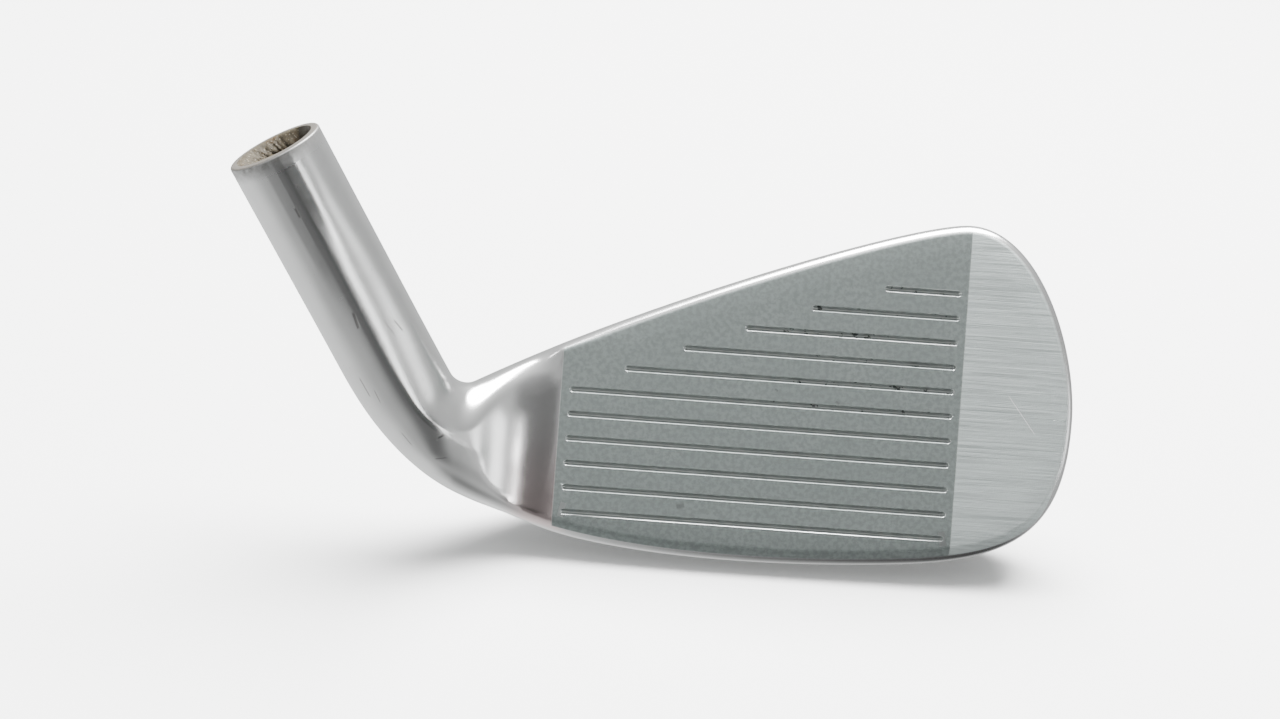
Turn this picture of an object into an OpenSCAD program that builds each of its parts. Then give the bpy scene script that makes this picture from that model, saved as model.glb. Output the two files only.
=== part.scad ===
// Left-handed iron head with an open hosel, as it is before a shaft is fitted.
// +X runs toward the toe along the score lines, the face looks toward -Y, +Z is up.
// The origin is on the hosel's axis where the straight bore begins, just under the countersink,
// and the head is soled at address below it.

/* [Head] */
// Angle of the face back from vertical, degrees
loft = 24; // [20:0.5:34]
// Angle between the hosel's axis and the ground, degrees
lie = 62; // [58:0.5:65]
// How far the leading edge's plane stands ahead of the hosel's axis at the ground
face_progression = 4; // [3:0.25:5.5]
// Distance from the hosel's axis at the ground to the tip of the toe
blade_length = 85.7; // [72:0.1:100]
// Height of the toe's peak, measured up the face
toe_height = 51.6; // [43:0.1:60]
// Distance of the toe's peak back from the tip of the toe
toe_peak_setback = 16.7; // [13:0.1:20]
// Height of the toe's tip, measured up the face
toe_tip_height = 24; // [20:0.1:28]
// Height of the crotch, where the hosel meets the topline, measured up the face
crotch_height = 22.5; // [18.5:0.1:26]
// Slope of the topline where it leaves the hosel, degrees
topline_slope = 29; // [26:0.5:34]
// Fillet between the hosel and the topline, in plan
crotch_fillet = 2.4; // [2:0.1:3]

/* [Thickness] */
// Thickness of the topline
topline_w = 5.6; // [4.7:0.1:6.8]
// Depth of the toe's rim at its tip
toe_w = 9.5; // [8:0.1:11.5]
// Depth of the sole behind the face
sole_w = 17.5; // [14.5:0.1:21]
// Depth of the rim where the sole runs into the heel
heel_w = 13; // [11:0.1:15.5]
// Slope of the sole behind the leading edge, relative to the ground, degrees
bounce = 3; // [1:0.5:5]
// Camber of the sole from front to back
sole_camber = 0.7; // [0.4:0.05:1]
// Thickness of the face behind the cavity
face_t = 2.8; // [2.3:0.1:3.4]

/* [Edges] */
// Radius along the front of the topline
topline_front_r = 1.6; // [1.3:0.1:2]
// Radius along the back of the topline
topline_back_r = 1.5; // [1.2:0.1:1.8]
// Radius of the leading edge
leading_r = 3; // [2.5:0.1:3.6]
// Radius of the trailing edge
trailing_r = 3.6; // [3:0.1:4.4]
// Radius of the polished scoop between the face and the hosel
scoop_r = 13; // [10.5:0.5:15.5]

/* [Score lines] */
// Number of score lines
line_count = 11; // [9:1:12]
// Distance from one score line to the next
line_pitch = 3.6; // [3:0.05:3.7]
// Width of a score line at the face
line_w = 0.9; // [0.75:0.01:1.08]
// Depth of a score line
line_depth = 0.5; // [0.4:0.01:0.6]
// Height of the lowest score line, measured up the face
first_line = 5.5; // [4.8:0.1:6.6]
// Where the score lines start at the heel
lines_start = 11.5; // [11:0.1:13.5]
// How far the score lines end short of the toe's tip
lines_toe_gap = 17.8; // [15:0.1:21.3]
// Gap between a score line's heel end and the topline, measured up the face
line_top_gap = 7.2; // [6:0.1:8.6]

/* [Hosel] */
// Outside diameter of the hosel
hosel_d = 13.5; // [12.5:0.1:15]
// Distance along the axis from the ground to the hosel's rim
hosel_length = 68; // [57:0.5:82]
// Diameter of the bore that takes a parallel-tip shaft
bore_d = 9.45; // [8.6:0.05:10.2]
// Depth of the bore below the rim
bore_depth = 32; // [27:0.5:38]
// Depth of the countersink at the rim
countersink_depth = 1.6; // [1.3:0.1:1.9]
// How far the countersink widens the bore, on the radius
countersink_w = 0.9; // [0.7:0.05:1.05]
// Radius round the outside of the rim
rim_r = 0.4; // [0.3:0.05:0.5]

/* [Swing weight and old epoxy] */
// Diameter of the pilot hole and of the swing weight pin in it
pin_d = 4.4; // [3.6:0.1:5.2]
// Length of the swing weight pin
pin_length = 9; // [7:0.5:11]
// Angle of the drill point at the bottom of the bore, which old epoxy fills, degrees
drill_angle = 118; // [100:1:140]
// Thickness of the cured epoxy left in the countersink
crust_t = 0.55; // [0.4:0.05:0.65]
// How far round the countersink the epoxy is left, degrees
crust_sweep = 235; // [190:5:300]

/* [Cavity] */
// Width of the rim round the cavity, along the topline and the toe
cavity_rim = 4.6; // [3.8:0.1:5.6]
// Where the cavity starts at the heel
cavity_start = 15; // [12:0.5:18]
// Height of the muscle bar under the cavity, measured up the face
muscle_height = 19; // [17:0.1:21]
// Lean of the muscle bar's upper side away from square to the face, degrees
muscle_lean = 12; // [9:1:16]
// Radius of the corners of the cavity
cavity_corner_r = 5; // [4:0.1:6]
// Fillet along the foot of the muscle bar
muscle_fillet = 3; // [2:0.1:3.6]

/* [Weights] */
// Diameter of the tungsten weight in the toe
toe_weight_d = 7.6; // [6.2:0.1:8.4]
// Length of the tungsten weight in the toe
toe_weight_length = 18; // [14:0.5:22]
// Distance of the toe weight back from the tip of the toe
toe_weight_setback = 11; // [10:0.5:15]
// Diameter of the tungsten weight in the heel
heel_weight_d = 7; // [5.8:0.1:8]
// Length of the tungsten weight in the heel
heel_weight_length = 12; // [9:0.5:15]
// Distance of the heel weight from the hosel's axis at the ground
heel_weight_x = 11; // [9:0.5:14]
// Height of both weights' centres, measured up the face
weight_height = 9.6; // [9:0.1:10.4]
// Depth of both weights' centres behind the face
weight_depth = 9.2; // [8:0.1:10]

/* [Badge] */
// Thickness of the elastomer damping pad
pad_t = 1.2; // [0.9:0.1:1.5]
// Thickness of the aluminium badge
badge_t = 0.8; // [0.6:0.1:1]
// Thickness of each layer of adhesive tape
tape_t = 0.2; // [0.15:0.05:0.25]
// Gap between the damping pad and the walls of the cavity
pad_gap = 1; // [0.8:0.1:1.4]
// Gap between the heel end of the cavity and the damping pad
pad_heel_gap = 6; // [5:0.5:8]
// How far the badge stays back from the edge of the pad
badge_inset = 0.7; // [0.5:0.1:1]
// Width of the damping pad, up the face
pad_height = 13.5; // [11:0.5:16]
// Radius of the damping pad's corners
pad_corner_r = 2.5; // [2:0.1:3]

/* [Hidden] */

$fn = 64;
past = 1;                     // how far a cut runs past the face that it opens
proud = 0.3;                  // how far the raw blade stands ahead of the milled face
seat = 0.05;                  // how far the blended neck stands outside the turned hosel

// ---------- places on the face plane, as [along the lines, up the face] ----------

hosel_r = hosel_d / 2;
axis_plan_length = sqrt(pow(cos(lie), 2) + pow(sin(lie) * cos(loft), 2));
axis_up = [-cos(lie), sin(lie) * cos(loft)] / axis_plan_length;   // the axis seen square to the face
axis_side = [axis_up[1], -axis_up[0]];                            // square to it, toward the toe
axis_rise = sin(lie) * sin(loft) / axis_plan_length;              // how fast the axis leaves the face
axis_foot = [-face_progression / tan(loft) / tan(lie), face_progression / sin(loft)];
hosel_half_depth = hosel_r * sqrt(1 + axis_rise * axis_rise);

function along(angle) = [cos(angle), sin(angle)];
function ease(x) = let(t = min(max(x, 0), 1)) t * t * (3 - 2 * t);
function mix(a, b, t) = a * (1 - t) + b * t;
function unit(v) = v / norm(v);
function on_axis(distance) = axis_foot + axis_up * distance;
function axis_front(p) = ((p - axis_foot) * axis_up) * axis_rise;

// A cubic curve through its two ends, and the direction along it
function curve(c, t) = let(s = 1 - t)
    c[0] * s * s * s + c[1] * 3 * s * s * t + c[2] * 3 * s * t * t + c[3] * t * t * t;
function heading(c, t) = let(s = 1 - t)
    unit((c[1] - c[0]) * s * s + (c[2] - c[1]) * 2 * s * t + (c[3] - c[2]) * t * t);

// ---------- outline of the head ----------
// Four cubic curves. Each handle is a share of the span that its curve crosses.

toe_peak = [blade_length - toe_peak_setback, toe_height];
toe_tip = [blade_length, toe_tip_height];
sole_toe_end = [blade_length - 1.42 * toe_peak_setback, 0.046 * toe_tip_height];
sole_heel_end = [8, 2.7];
sole_toe_slope = 5.7;
sole_heel_slope = -13.6;

hosel_edge = axis_foot + axis_side * hosel_r;
crotch = hosel_edge + axis_up * ((crotch_height - hosel_edge[1]) / axis_up[1]);
topline_dir = along(topline_slope);
crotch_turn = acos(axis_up * topline_dir);                        // corner angle between the two edges
crotch_setback = crotch_fillet / tan(crotch_turn / 2);
topline_start = crotch + topline_dir * crotch_setback;
topline_span = norm(toe_peak - topline_start);

topline = [topline_start,
           topline_start + topline_dir * 0.34 * topline_span,
           toe_peak - [0.107 * topline_span, 0],
           toe_peak];
upper_toe = [toe_peak,
             toe_peak + [0.61 * toe_peak_setback, 0],
             toe_tip + [0, 0.39 * (toe_height - toe_tip_height)],
             toe_tip];
lower_toe = [sole_toe_end,
             sole_toe_end + along(sole_toe_slope) * 0.725 * (toe_tip[0] - sole_toe_end[0]),
             toe_tip - [0, 0.675 * toe_tip_height],
             toe_tip];
sole_span = sole_toe_end[0] - sole_heel_end[0];
sole = [sole_heel_end,
        sole_heel_end + along(sole_heel_slope) * 0.3 * sole_span,
        sole_toe_end - along(sole_toe_slope) * 0.295 * sole_span,
        sole_toe_end];
neck_straight = 7;                                                // of the neck above the crotch's fillet
neck_end = (crotch - axis_foot) * axis_up + crotch_fillet + neck_straight;
neck_height = neck_end + 0.52 * hosel_d;                          // up the axis, where the loft ends
heel_start = on_axis(neck_end) - axis_side * (hosel_r + seat);
heel = [heel_start,
        heel_start - axis_up * 0.9 * neck_end,
        sole_heel_end - along(sole_heel_slope) * 0.75 * hosel_d,
        sole_heel_end];

crotch_centre = topline_start + [-topline_dir[1], topline_dir[0]] * crotch_fillet;
crotch_top = crotch + axis_up * crotch_setback;
neck_edge = hosel_edge + axis_side * seat;
neck_top = neck_edge + axis_up * neck_height;

// The outline is walked by one number: 0 to 1 round the heel, 1 to 2 along the blade,
// 2 to 3 round the toe. Each edge gives [point, direction toward the toe].
neck_to = 0.15;
crotch_from = 0.35;
crotch_to = 0.64;
topline_split = 0.17;
crotch_angle = atan2(crotch_top[1] - crotch_centre[1], crotch_top[0] - crotch_centre[0]);
crotch_sweep = 180 - crotch_turn;

function lower_edge(x) =
    x < neck_to ?
        [heel_start + axis_up * (neck_height - neck_end) * (1 - x / neck_to), -axis_up] :
    x < 1 ?
        let(t = (x - neck_to) / (1 - neck_to))
        [curve(heel, t), heading(heel, t)] :
    x < 2 ? [curve(sole, x - 1), heading(sole, x - 1)] :
            [curve(lower_toe, x - 2), heading(lower_toe, x - 2)];

function upper_edge(x) =
    x < crotch_from ?
        [mix(neck_top, crotch_top + axis_side * seat, x / crotch_from), -axis_up] :
    x < crotch_to ?
        let(angle = crotch_angle + crotch_sweep * (x - crotch_from) / (crotch_to - crotch_from))
        [crotch_centre + crotch_fillet * along(angle), along(angle + 90)] :
    x < 2 ?
        let(t = x < 1 ? topline_split * (x - crotch_to) / (1 - crotch_to)
                      : topline_split + (1 - topline_split) * (x - 1))
        [curve(topline, t), heading(topline, t)] :
        [curve(upper_toe, x - 2), heading(upper_toe, x - 2)];

// ---------- cross-section of the blade's rim ----------

arc_steps = 4;
side_steps = 4;

// Points as [inset from the outline, depth behind the face], from the front to the back:
// a front radius, a side that may lean under the blade and belly out, and a back radius.
function rim(front_r, back_r, lean, depth, belly) = let(
    first = 9,
    turn = [for (i = [0:arc_steps]) mix(first, 90 + lean, i / arc_steps)],
    run = (depth - back_r - front_r * (1 + sin(lean)) + back_r * sin(lean)) / cos(lean),
    start = front_r * [1 - cos(lean), 1 + sin(lean)],
    centre = start + run * [sin(lean), cos(lean)] + back_r * [cos(lean), -sin(lean)],
    lift = (proud + front_r * (1 - cos(first))) / sin(first))
    concat(
        [front_r * [1 - sin(first), 1 - cos(first)] + lift * [cos(first), -sin(first)]],
        [for (a = turn) front_r * [1 - sin(a), 1 - cos(a)]],
        [for (i = [1:side_steps - 1]) let(t = i / side_steps)
            start + run * t * [sin(lean), cos(lean)] + 4 * belly * t * (1 - t) * [-cos(lean), sin(lean)]],
        [for (i = [0:arc_steps]) let(a = mix(90 + lean, 180, i / arc_steps))
            centre - back_r * [sin(a), cos(a)]]);

side_points = 1 + (arc_steps + 1) * 2 + side_steps - 1;
back_steps = 6;
ring_points = 2 * side_points + back_steps - 1;
ring_step = 360 / ring_points;

function lower_rim(x) = let(toe = ease(x - 2), blade = ease((x - 0.55) / 0.75)) rim(
    mix(leading_r, topline_front_r, toe),
    mix(trailing_r, topline_back_r, toe),
    mix(loft - bounce, 0, toe),
    mix(mix(heel_w, sole_w, blade), toe_w, toe),
    mix(sole_camber, 0.25 * sole_camber, toe));

function upper_rim(x) = let(toe = ease(x - 2)) rim(
    topline_front_r, topline_back_r, 0,
    mix(topline_w, toe_w, toe),
    0.25 * sole_camber);

// One closed ring round the head: down the lower rim from front to back, then up the upper rim
// from back to front. Near the hosel the ring eases into the hosel's own section.
function rim_points(edge, inward, points) =
    [for (p = points) let(q = edge + inward * p[0]) [q[0], q[1], -p[1]]];
function flip(list) = [for (i = [len(list) - 1:-1:0]) list[i]];

function blade_ring(x) = let(
    low = lower_edge(x),
    high = upper_edge(x),
    lower = rim_points(low[0], [-low[1][1], low[1][0]], lower_rim(x)),
    upper = flip(rim_points(high[0], [high[1][1], -high[1][0]], upper_rim(x))),
    from = lower[side_points - 1],
    to = upper[0],
    hollow = [mix(from[0], to[0], 0.4), mix(from[1], to[1], 0.4), mix(from[2], to[2], 0.8)])
    concat(lower,
           [for (i = [1:back_steps - 1]) let(t = i / back_steps)
               mix(mix(from, hollow, t), mix(hollow, to, t), t)],
           upper);

function neck_ring(x) = let(
    low = lower_edge(x)[0],
    high = upper_edge(x)[0],
    middle = (low + high) / 2,
    half = (high - low) / 2,
    front = axis_front(middle),
    depth = hosel_half_depth + seat)
    [for (i = [0:ring_points - 1]) let(
        a = 90 + ring_step * (i + 0.5),
        p = middle + half * cos(a))
        [p[0], p[1], front + depth * sin(a)]];

function head_ring(x) = let(
    from_neck = neck_ring(x),
    from_blade = blade_ring(x),
    back = ease((x - 0.25) / 0.8),
    front = ease((x - 0.5) / 0.62))
    [for (i = [0:ring_points - 1]) let(
        a = 90 + ring_step * (i + 0.5),
        t = mix(back, front, (1 + sin(a)) / 2))
        mix(from_neck[i], from_blade[i], t)];

heel_steps = 26;
blade_steps = 16;
toe_steps = 18;
stations = concat(
    [for (i = [0:heel_steps - 1]) i / heel_steps],
    [for (i = [0:blade_steps - 1]) 1 + i / blade_steps],
    [for (i = [0:toe_steps - 1]) 2 + sin(90 * i / toe_steps)]);

module raw_blade() {
    rings = [for (x = stations) head_ring(x)];
    tip = rim_points(toe_tip, [-1, 0], lower_rim(3));
    points = concat([for (r = rings) each r], tip);
    last = len(rings) - 1;
    end = last * ring_points;
    tip_at = end + ring_points;
    tip_back = tip_at + side_points - 1;
    neck = [[for (i = [ring_points - 1:-1:0]) i]];
    skin = [for (j = [0:last - 1], i = [0:ring_points - 1])
        let(a = j * ring_points + i,
            b = j * ring_points + (i + 1) % ring_points)
        each [[a, b, b + ring_points], [a, b + ring_points, a + ring_points]]];
    // both halves of the last ring close onto the same line down the tip of the toe
    closing = [for (i = [0:side_points - 2]) let(
        lower = end + i,
        upper = end + ring_points - 1 - i)
        each [[lower, lower + 1, tip_at + i + 1], [lower, tip_at + i + 1, tip_at + i],
              [upper, tip_at + i, tip_at + i + 1], [upper, tip_at + i + 1, upper - 1]]];
    back = [for (i = [side_points - 1:side_points + back_steps - 2])
        [end + i, end + i + 1, tip_back]];
    front = [[end + ring_points - 1, end, tip_at]];
    faces = concat(neck, skin, closing, back, front);
    polyhedron(points, [for (f = faces) flip(f)], convexity = 6);
}

// ---------- cuts and inserts, in the frame of the face ----------

// The sole's lowest point, below the height where the leading edge is measured
sole_drop = -min([for (x = stations, p = head_ring(x)) p[1] * cos(loft) + p[2] * sin(loft)]);

axis = [-cos(lie), 0, sin(lie)];
ground_point = -axis * (hosel_length - countersink_depth);

// Stands children on the face plane: x toward the toe, y up the face, z out of the face
module on_face() {
    translate(ground_point + [-sole_drop / tan(lie), -face_progression, sole_drop])
        rotate([90 - loft, 0, 0])
            children();
}

// Stands children on the hosel's axis, at a distance below the rim
module in_hosel(below) {
    rotate([0, lie - 90, 0])
        translate([0, 0, countersink_depth - below])
            children();
}

// The face is milled flat and runs out toward the hosel in a round scoop
scoop_at = lines_start - 1.1;
module face_milling() {
    reach = blade_length + past;
    deep = 40;
    translate([0, toe_height / 2, 0])
        rotate([90, 0, 0])
            linear_extrude(2 * toe_height, center = true) {
                translate([scoop_at, scoop_r])
                    circle(scoop_r, $fn = 96);
                translate([scoop_at, 0])
                    square([reach - scoop_at, deep]);
                translate([scoop_at - scoop_r, scoop_r])
                    square([reach, deep - scoop_r]);
            }
}

// A score line is a flat-bottomed groove with sloping sides and round ends
line_bottom_w = 0.35 * line_w;
lines_end = blade_length - lines_toe_gap;
function topline_height(x, low = 0, high = 1, steps = 24) = let(t = (low + high) / 2)
    steps == 0 ? curve(topline, t)[1] :
    curve(topline, t)[0] < x ? topline_height(x, t, high, steps - 1)
                             : topline_height(x, low, t, steps - 1);
function topline_reach(y, low = 0, high = 1, steps = 24) = let(t = (low + high) / 2)
    steps == 0 ? curve(topline, t)[0] :
    curve(topline, t)[1] < y ? topline_reach(y, t, high, steps - 1)
                             : topline_reach(y, low, t, steps - 1);

module score_line(from, to) {
    half_end = line_w / 2;
    from_x = from + half_end;
    to_x = to - half_end;
    for (x = [from_x, to_x])
        translate([x, 0, -line_depth])
            cylinder(h = line_depth * 2, d1 = line_bottom_w, d2 = 2 * line_w - line_bottom_w, $fn = 24);
    translate([from_x, 0, 0])
        rotate([90, 0, 90])
            linear_extrude(to_x - from_x)
                polygon([[-line_bottom_w / 2, -line_depth],
                         [line_bottom_w / 2, -line_depth],
                         [line_w - line_bottom_w / 2, line_depth],
                         [line_bottom_w / 2 - line_w, line_depth]]);
}

module score_lines() {
    for (i = [0:line_count - 1]) {
        y = first_line + i * line_pitch;
        from = max(lines_start, topline_reach(y + line_top_gap));
        translate([0, y, 0])
            score_line(from, lines_end);
    }
}

// Corners of an outline rounded by arcs: each corner is [point, radius]
function rounded(corners, steps = 6) = let(n = len(corners))
    [for (i = [0:n - 1]) let(
        p = corners[i][0],
        r = corners[i][1],
        back = unit(corners[(i + n - 1) % n][0] - p),
        ahead = unit(corners[(i + 1) % n][0] - p),
        half = acos(back * ahead) / 2,
        centre = p + unit(back + ahead) * r / sin(half),
        from = p + back * r / tan(half) - centre,
        to = p + ahead * r / tan(half) - centre)
        each r == 0 ? [p] :
            [for (k = [0:steps]) let(t = k / steps)
                centre + (from * sin((1 - t) * (180 - 2 * half)) + to * sin(t * (180 - 2 * half)))
                         / sin(180 - 2 * half)]];

function inside_upper(x, inset) = let(e = upper_edge(x)) e[0] + [e[1][1], -e[1][0]] * inset;
function inside_lower(x, inset) = let(e = lower_edge(x)) e[0] + [-e[1][1], e[1][0]] * inset;

// Where the outline, drawn in by inset, crosses a height: on the topline, and round the toe
function topline_side(y, inset, low = 1, high = 2, steps = 24) = let(x = (low + high) / 2)
    steps == 0 ? inside_upper(x, inset)[0] :
    inside_upper(x, inset)[1] < y ? topline_side(y, inset, x, high, steps - 1)
                                  : topline_side(y, inset, low, x, steps - 1);
function toe_side(y, inset, low = 2, high = 4, steps = 24) = let(
    x = (low + high) / 2,
    p = x < 3 ? inside_lower(x, inset) : inside_upper(6 - x, inset))
    steps == 0 ? p[0] :
    p[1] < y ? toe_side(y, inset, x, high, steps - 1)
             : toe_side(y, inset, low, x, steps - 1);
function heel_top(x, inset) = topline_height(x) - inset / cos(topline_slope);

// Outline of the cavity: straight at the heel and along the muscle bar, and following the rim above
module cavity_outline(low) {
    around = concat(
        [for (x = [1.25:0.125:2.875]) inside_upper(x, cavity_rim)],
        [for (x = [3:-0.125:2.25]) inside_lower(x, cavity_rim)]);
    polygon(rounded(concat(
        [[[cavity_start, low], cavity_corner_r],
         [[cavity_start, heel_top(cavity_start, cavity_rim)], 0.6 * cavity_corner_r]],
        [for (p = around) if (p[0] > cavity_start + cavity_corner_r && p[1] > low + cavity_corner_r) [p, 0]],
        [[[toe_side(low, cavity_rim), low], 0.8 * cavity_corner_r]])));
}

// Outline of what lies on the cavity's floor, between two heights and clear of the walls by a gap
module pad_outline(low, high, heel_x, gap, corner_r) {
    inset = cavity_rim + gap;
    polygon(rounded([[[heel_x, low], corner_r],
                     [[heel_x, heel_top(heel_x, inset)], corner_r],
                     [[topline_side(high, inset), high], corner_r],
                     [[toe_side(high, inset), high], corner_r],
                     [[toe_side(low, inset), low], corner_r]]));
}

// Profile across the cavity, as [up the face, depth]: a flat floor, a fillet and the muscle bar's slope
module cavity_profile() {
    slope = 90 - muscle_lean;
    foot = [muscle_height, face_t];
    set = muscle_fillet * tan(slope / 2);
    top = toe_height + past;
    deep = 2 * sole_w;
    difference() {
        polygon([foot, [top, face_t], [top, deep],
                 [muscle_height - (deep - face_t) * tan(muscle_lean), deep]]);
        difference() {
            polygon([foot - [past, past],
                     foot + [set, 0],
                     foot + [set, 0] + [0, muscle_fillet],
                     foot + [-sin(muscle_lean), cos(muscle_lean)] * set]);
            translate(foot + [set, muscle_fillet])
                circle(muscle_fillet, $fn = 64);
        }
    }
}

module cavity_cut() {
    intersection() {
        translate([0, 0, -2 * sole_w])
            linear_extrude(2 * sole_w)
                cavity_outline(muscle_height - muscle_fillet / 2);
        rotate([0, 90, 0])
            rotate([0, 0, 90])
                linear_extrude(blade_length)
                    mirror([0, 1])
                        cavity_profile();
    }
}

module head_body() {
    color("silver")
        difference() {
            union() {
                on_face() raw_blade();
                hosel();
            }
            on_face() face_milling();
            on_face() score_lines();
            on_face() cavity_cut();
            bore();
            heel_weight();
            toe_weight();
        }
}

// ---------- hosel ----------

neck_overlap = 0.25 * hosel_d;
neck_top_height = sole_drop + (axis_foot[1] + neck_height * axis_up[1]) * cos(loft)
                  + neck_height * axis_rise * sin(loft);
hosel_turned = hosel_length + neck_overlap - neck_top_height / sin(lie);
bore_r = bore_d / 2;
drill_cone = (bore_r - pin_d / 2) / tan(drill_angle / 2);
pin_below = bore_depth + drill_cone + pin_length;

module hosel() {
    in_hosel(hosel_turned)
        rotate_extrude($fn = 96)
            union() {
                square([hosel_r, hosel_turned - rim_r]);
                square([hosel_r - rim_r, hosel_turned]);
                translate([hosel_r - rim_r, hosel_turned - rim_r])
                    circle(rim_r, $fn = 32);
            }
}

module bore() {
    in_hosel(bore_depth)
        cylinder(h = bore_depth + past, r = bore_r);
    in_hosel(countersink_depth)
        cylinder(h = countersink_depth, r1 = bore_r, r2 = bore_r + countersink_w);
    in_hosel(pin_below)
        cylinder(h = pin_length, d = pin_d);
    drill_point();
}

// The end of the bore that the drill left, down to the pilot hole
module drill_point() {
    in_hosel(bore_depth + drill_cone)
        cylinder(h = drill_cone, r1 = pin_d / 2, r2 = bore_r);
}

module swing_weight_pin() {
    color("darkgoldenrod")
        in_hosel(pin_below)
            cylinder(h = pin_length, d = pin_d);
}

module epoxy_plug() {
    color("wheat")
        drill_point();
}

// Old epoxy clings to part of the countersink, clear of the bore and of the rim
crust_start = 60;
module epoxy_crust() {
    slant = unit([countersink_w, countersink_depth]);
    across = [-slant[1], slant[0]];
    foot = [bore_r, 0] + slant * 0.3 * countersink_depth;
    top = [bore_r, 0] + slant * 0.95 * countersink_depth;
    crown = across * 0.5 * crust_t;
    color("wheat")
        in_hosel(countersink_depth)
            rotate([0, 0, crust_start])
                rotate_extrude(angle = crust_sweep, $fn = 96)
                    polygon([foot, top, top + crown, mix(foot, top, 0.5) + crown]);
}

// ---------- weights, sealed in the sole ----------

module weight(from, length, d) {
    on_face()
        translate([from, weight_height, -weight_depth])
            rotate([0, 90, 0])
                cylinder(h = length, d = d);
}

module toe_weight() {
    color("dimgray")
        weight(blade_length - toe_weight_setback - toe_weight_length, toe_weight_length, toe_weight_d);
}

module heel_weight() {
    color("dimgray")
        weight(heel_weight_x, heel_weight_length, heel_weight_d);
}

// ---------- damping pad and badge, stacked on the cavity's floor ----------

pad_foot = muscle_height + muscle_fillet + pad_gap;
pad_top = pad_foot + pad_height;
pad_at = face_t + tape_t;
badge_tape_at = pad_at + pad_t;
badge_at = badge_tape_at + tape_t;

module cavity_layer(depth, thickness, inset) {
    on_face()
        translate([0, 0, -depth - thickness])
            linear_extrude(thickness)
                pad_outline(pad_foot + inset, pad_top - inset, cavity_start + pad_heel_gap + inset,
                            pad_gap + inset, pad_corner_r - inset);
}

module pad_tape() {
    color("whitesmoke")
        cavity_layer(face_t, tape_t, 0);
}

module damping_pad() {
    color("darkslategray")
        cavity_layer(pad_at, pad_t, 0);
}

module badge_tape() {
    color("whitesmoke")
        cavity_layer(badge_tape_at, tape_t, badge_inset);
}

module cavity_badge() {
    color("gainsboro")
        cavity_layer(badge_at, badge_t, badge_inset);
}

head_body();
toe_weight();
heel_weight();
pad_tape();
damping_pad();
badge_tape();
cavity_badge();
swing_weight_pin();
epoxy_plug();
epoxy_crust();
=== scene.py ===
"""Looks for a left-handed iron head. Lengths in the geometry sections are millimetres.

The head is lofted in the frame of its face: u runs toward the toe along the score lines, v up the
face, and f out of the face. face_to_row() then stands it at address, in metres.
"""
import math

import bmesh
import bpy
import numpy as np
from mathutils import Matrix, Vector


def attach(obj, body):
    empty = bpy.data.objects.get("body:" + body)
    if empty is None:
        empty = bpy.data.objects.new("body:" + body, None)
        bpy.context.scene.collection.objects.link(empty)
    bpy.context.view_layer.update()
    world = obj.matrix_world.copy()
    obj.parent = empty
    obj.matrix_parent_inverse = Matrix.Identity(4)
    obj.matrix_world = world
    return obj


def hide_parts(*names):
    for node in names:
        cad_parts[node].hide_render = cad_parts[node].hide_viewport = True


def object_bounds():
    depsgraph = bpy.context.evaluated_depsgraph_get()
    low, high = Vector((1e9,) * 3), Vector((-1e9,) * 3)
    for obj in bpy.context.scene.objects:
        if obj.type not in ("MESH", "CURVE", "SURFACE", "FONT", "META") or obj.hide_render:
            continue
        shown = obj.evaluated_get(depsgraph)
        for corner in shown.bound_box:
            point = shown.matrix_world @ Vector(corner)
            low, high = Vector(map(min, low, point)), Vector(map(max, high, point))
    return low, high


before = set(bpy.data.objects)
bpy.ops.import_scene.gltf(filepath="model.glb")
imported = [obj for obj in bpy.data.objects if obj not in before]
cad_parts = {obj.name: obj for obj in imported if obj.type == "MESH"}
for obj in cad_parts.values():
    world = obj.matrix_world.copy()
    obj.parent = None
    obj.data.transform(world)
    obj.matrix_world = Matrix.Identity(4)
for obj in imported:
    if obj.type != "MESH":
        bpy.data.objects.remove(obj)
cad_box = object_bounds()

MM = 0.001

# ---------- driving dimensions, as the CAD model has them ----------

LOFT = math.radians(24)
LIE = math.radians(62)
FACE_PROGRESSION = 4.0
BLADE_LENGTH = 85.7
TOE_HEIGHT = 51.6
TOE_PEAK_SETBACK = 16.7
TOE_TIP_HEIGHT = 24.0
CROTCH_HEIGHT = 22.5
TOPLINE_SLOPE = math.radians(29)
CROTCH_FILLET = 2.4

TOPLINE_W = 5.6
TOE_W = 9.5
SOLE_W = 17.5
HEEL_W = 13.0
BOUNCE = math.radians(3)
SOLE_CAMBER = 0.7
FACE_T = 2.8
TOPLINE_FRONT_R = 1.6
TOPLINE_BACK_R = 1.5
LEADING_R = 3.0
TRAILING_R = 3.6
SCOOP_R = 13.0

LINE_COUNT = 11
LINE_PITCH = 3.6
LINE_W = 0.9
LINE_DEPTH = 0.5
FIRST_LINE = 5.5
LINES_START = 11.5
LINES_TOE_GAP = 17.8
LINE_TOP_GAP = 7.2

HOSEL_R = 6.75
HOSEL_LENGTH = 68.0
BORE_R = 4.725
BORE_DEPTH = 32.0
COUNTERSINK_DEPTH = 1.6
COUNTERSINK_W = 0.9
RIM_R = 0.4
PIN_R = 2.2
PIN_LENGTH = 9.0
DRILL_HALF_ANGLE = math.radians(59)

CAVITY_RIM = 4.6
CAVITY_START = 15.0
CAVITY_CORNER_R = 5.0
MUSCLE_HEIGHT = 19.0
MUSCLE_LEAN = math.radians(12)
MUSCLE_FILLET = 3.0
CAVITY_LOW = MUSCLE_HEIGHT - MUSCLE_FILLET / 2      # where the cavity's outline ends, inside the muscle bar


# ---------- small helpers ----------

def along(angle):
    return np.array([math.cos(angle), math.sin(angle)])


def ease(x):
    t = np.clip(x, 0, 1)
    return t * t * (3 - 2 * t)


def mix(a, b, t):
    return a * (1 - t) + b * t


def unit(v):
    return v / np.linalg.norm(v)


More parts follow.
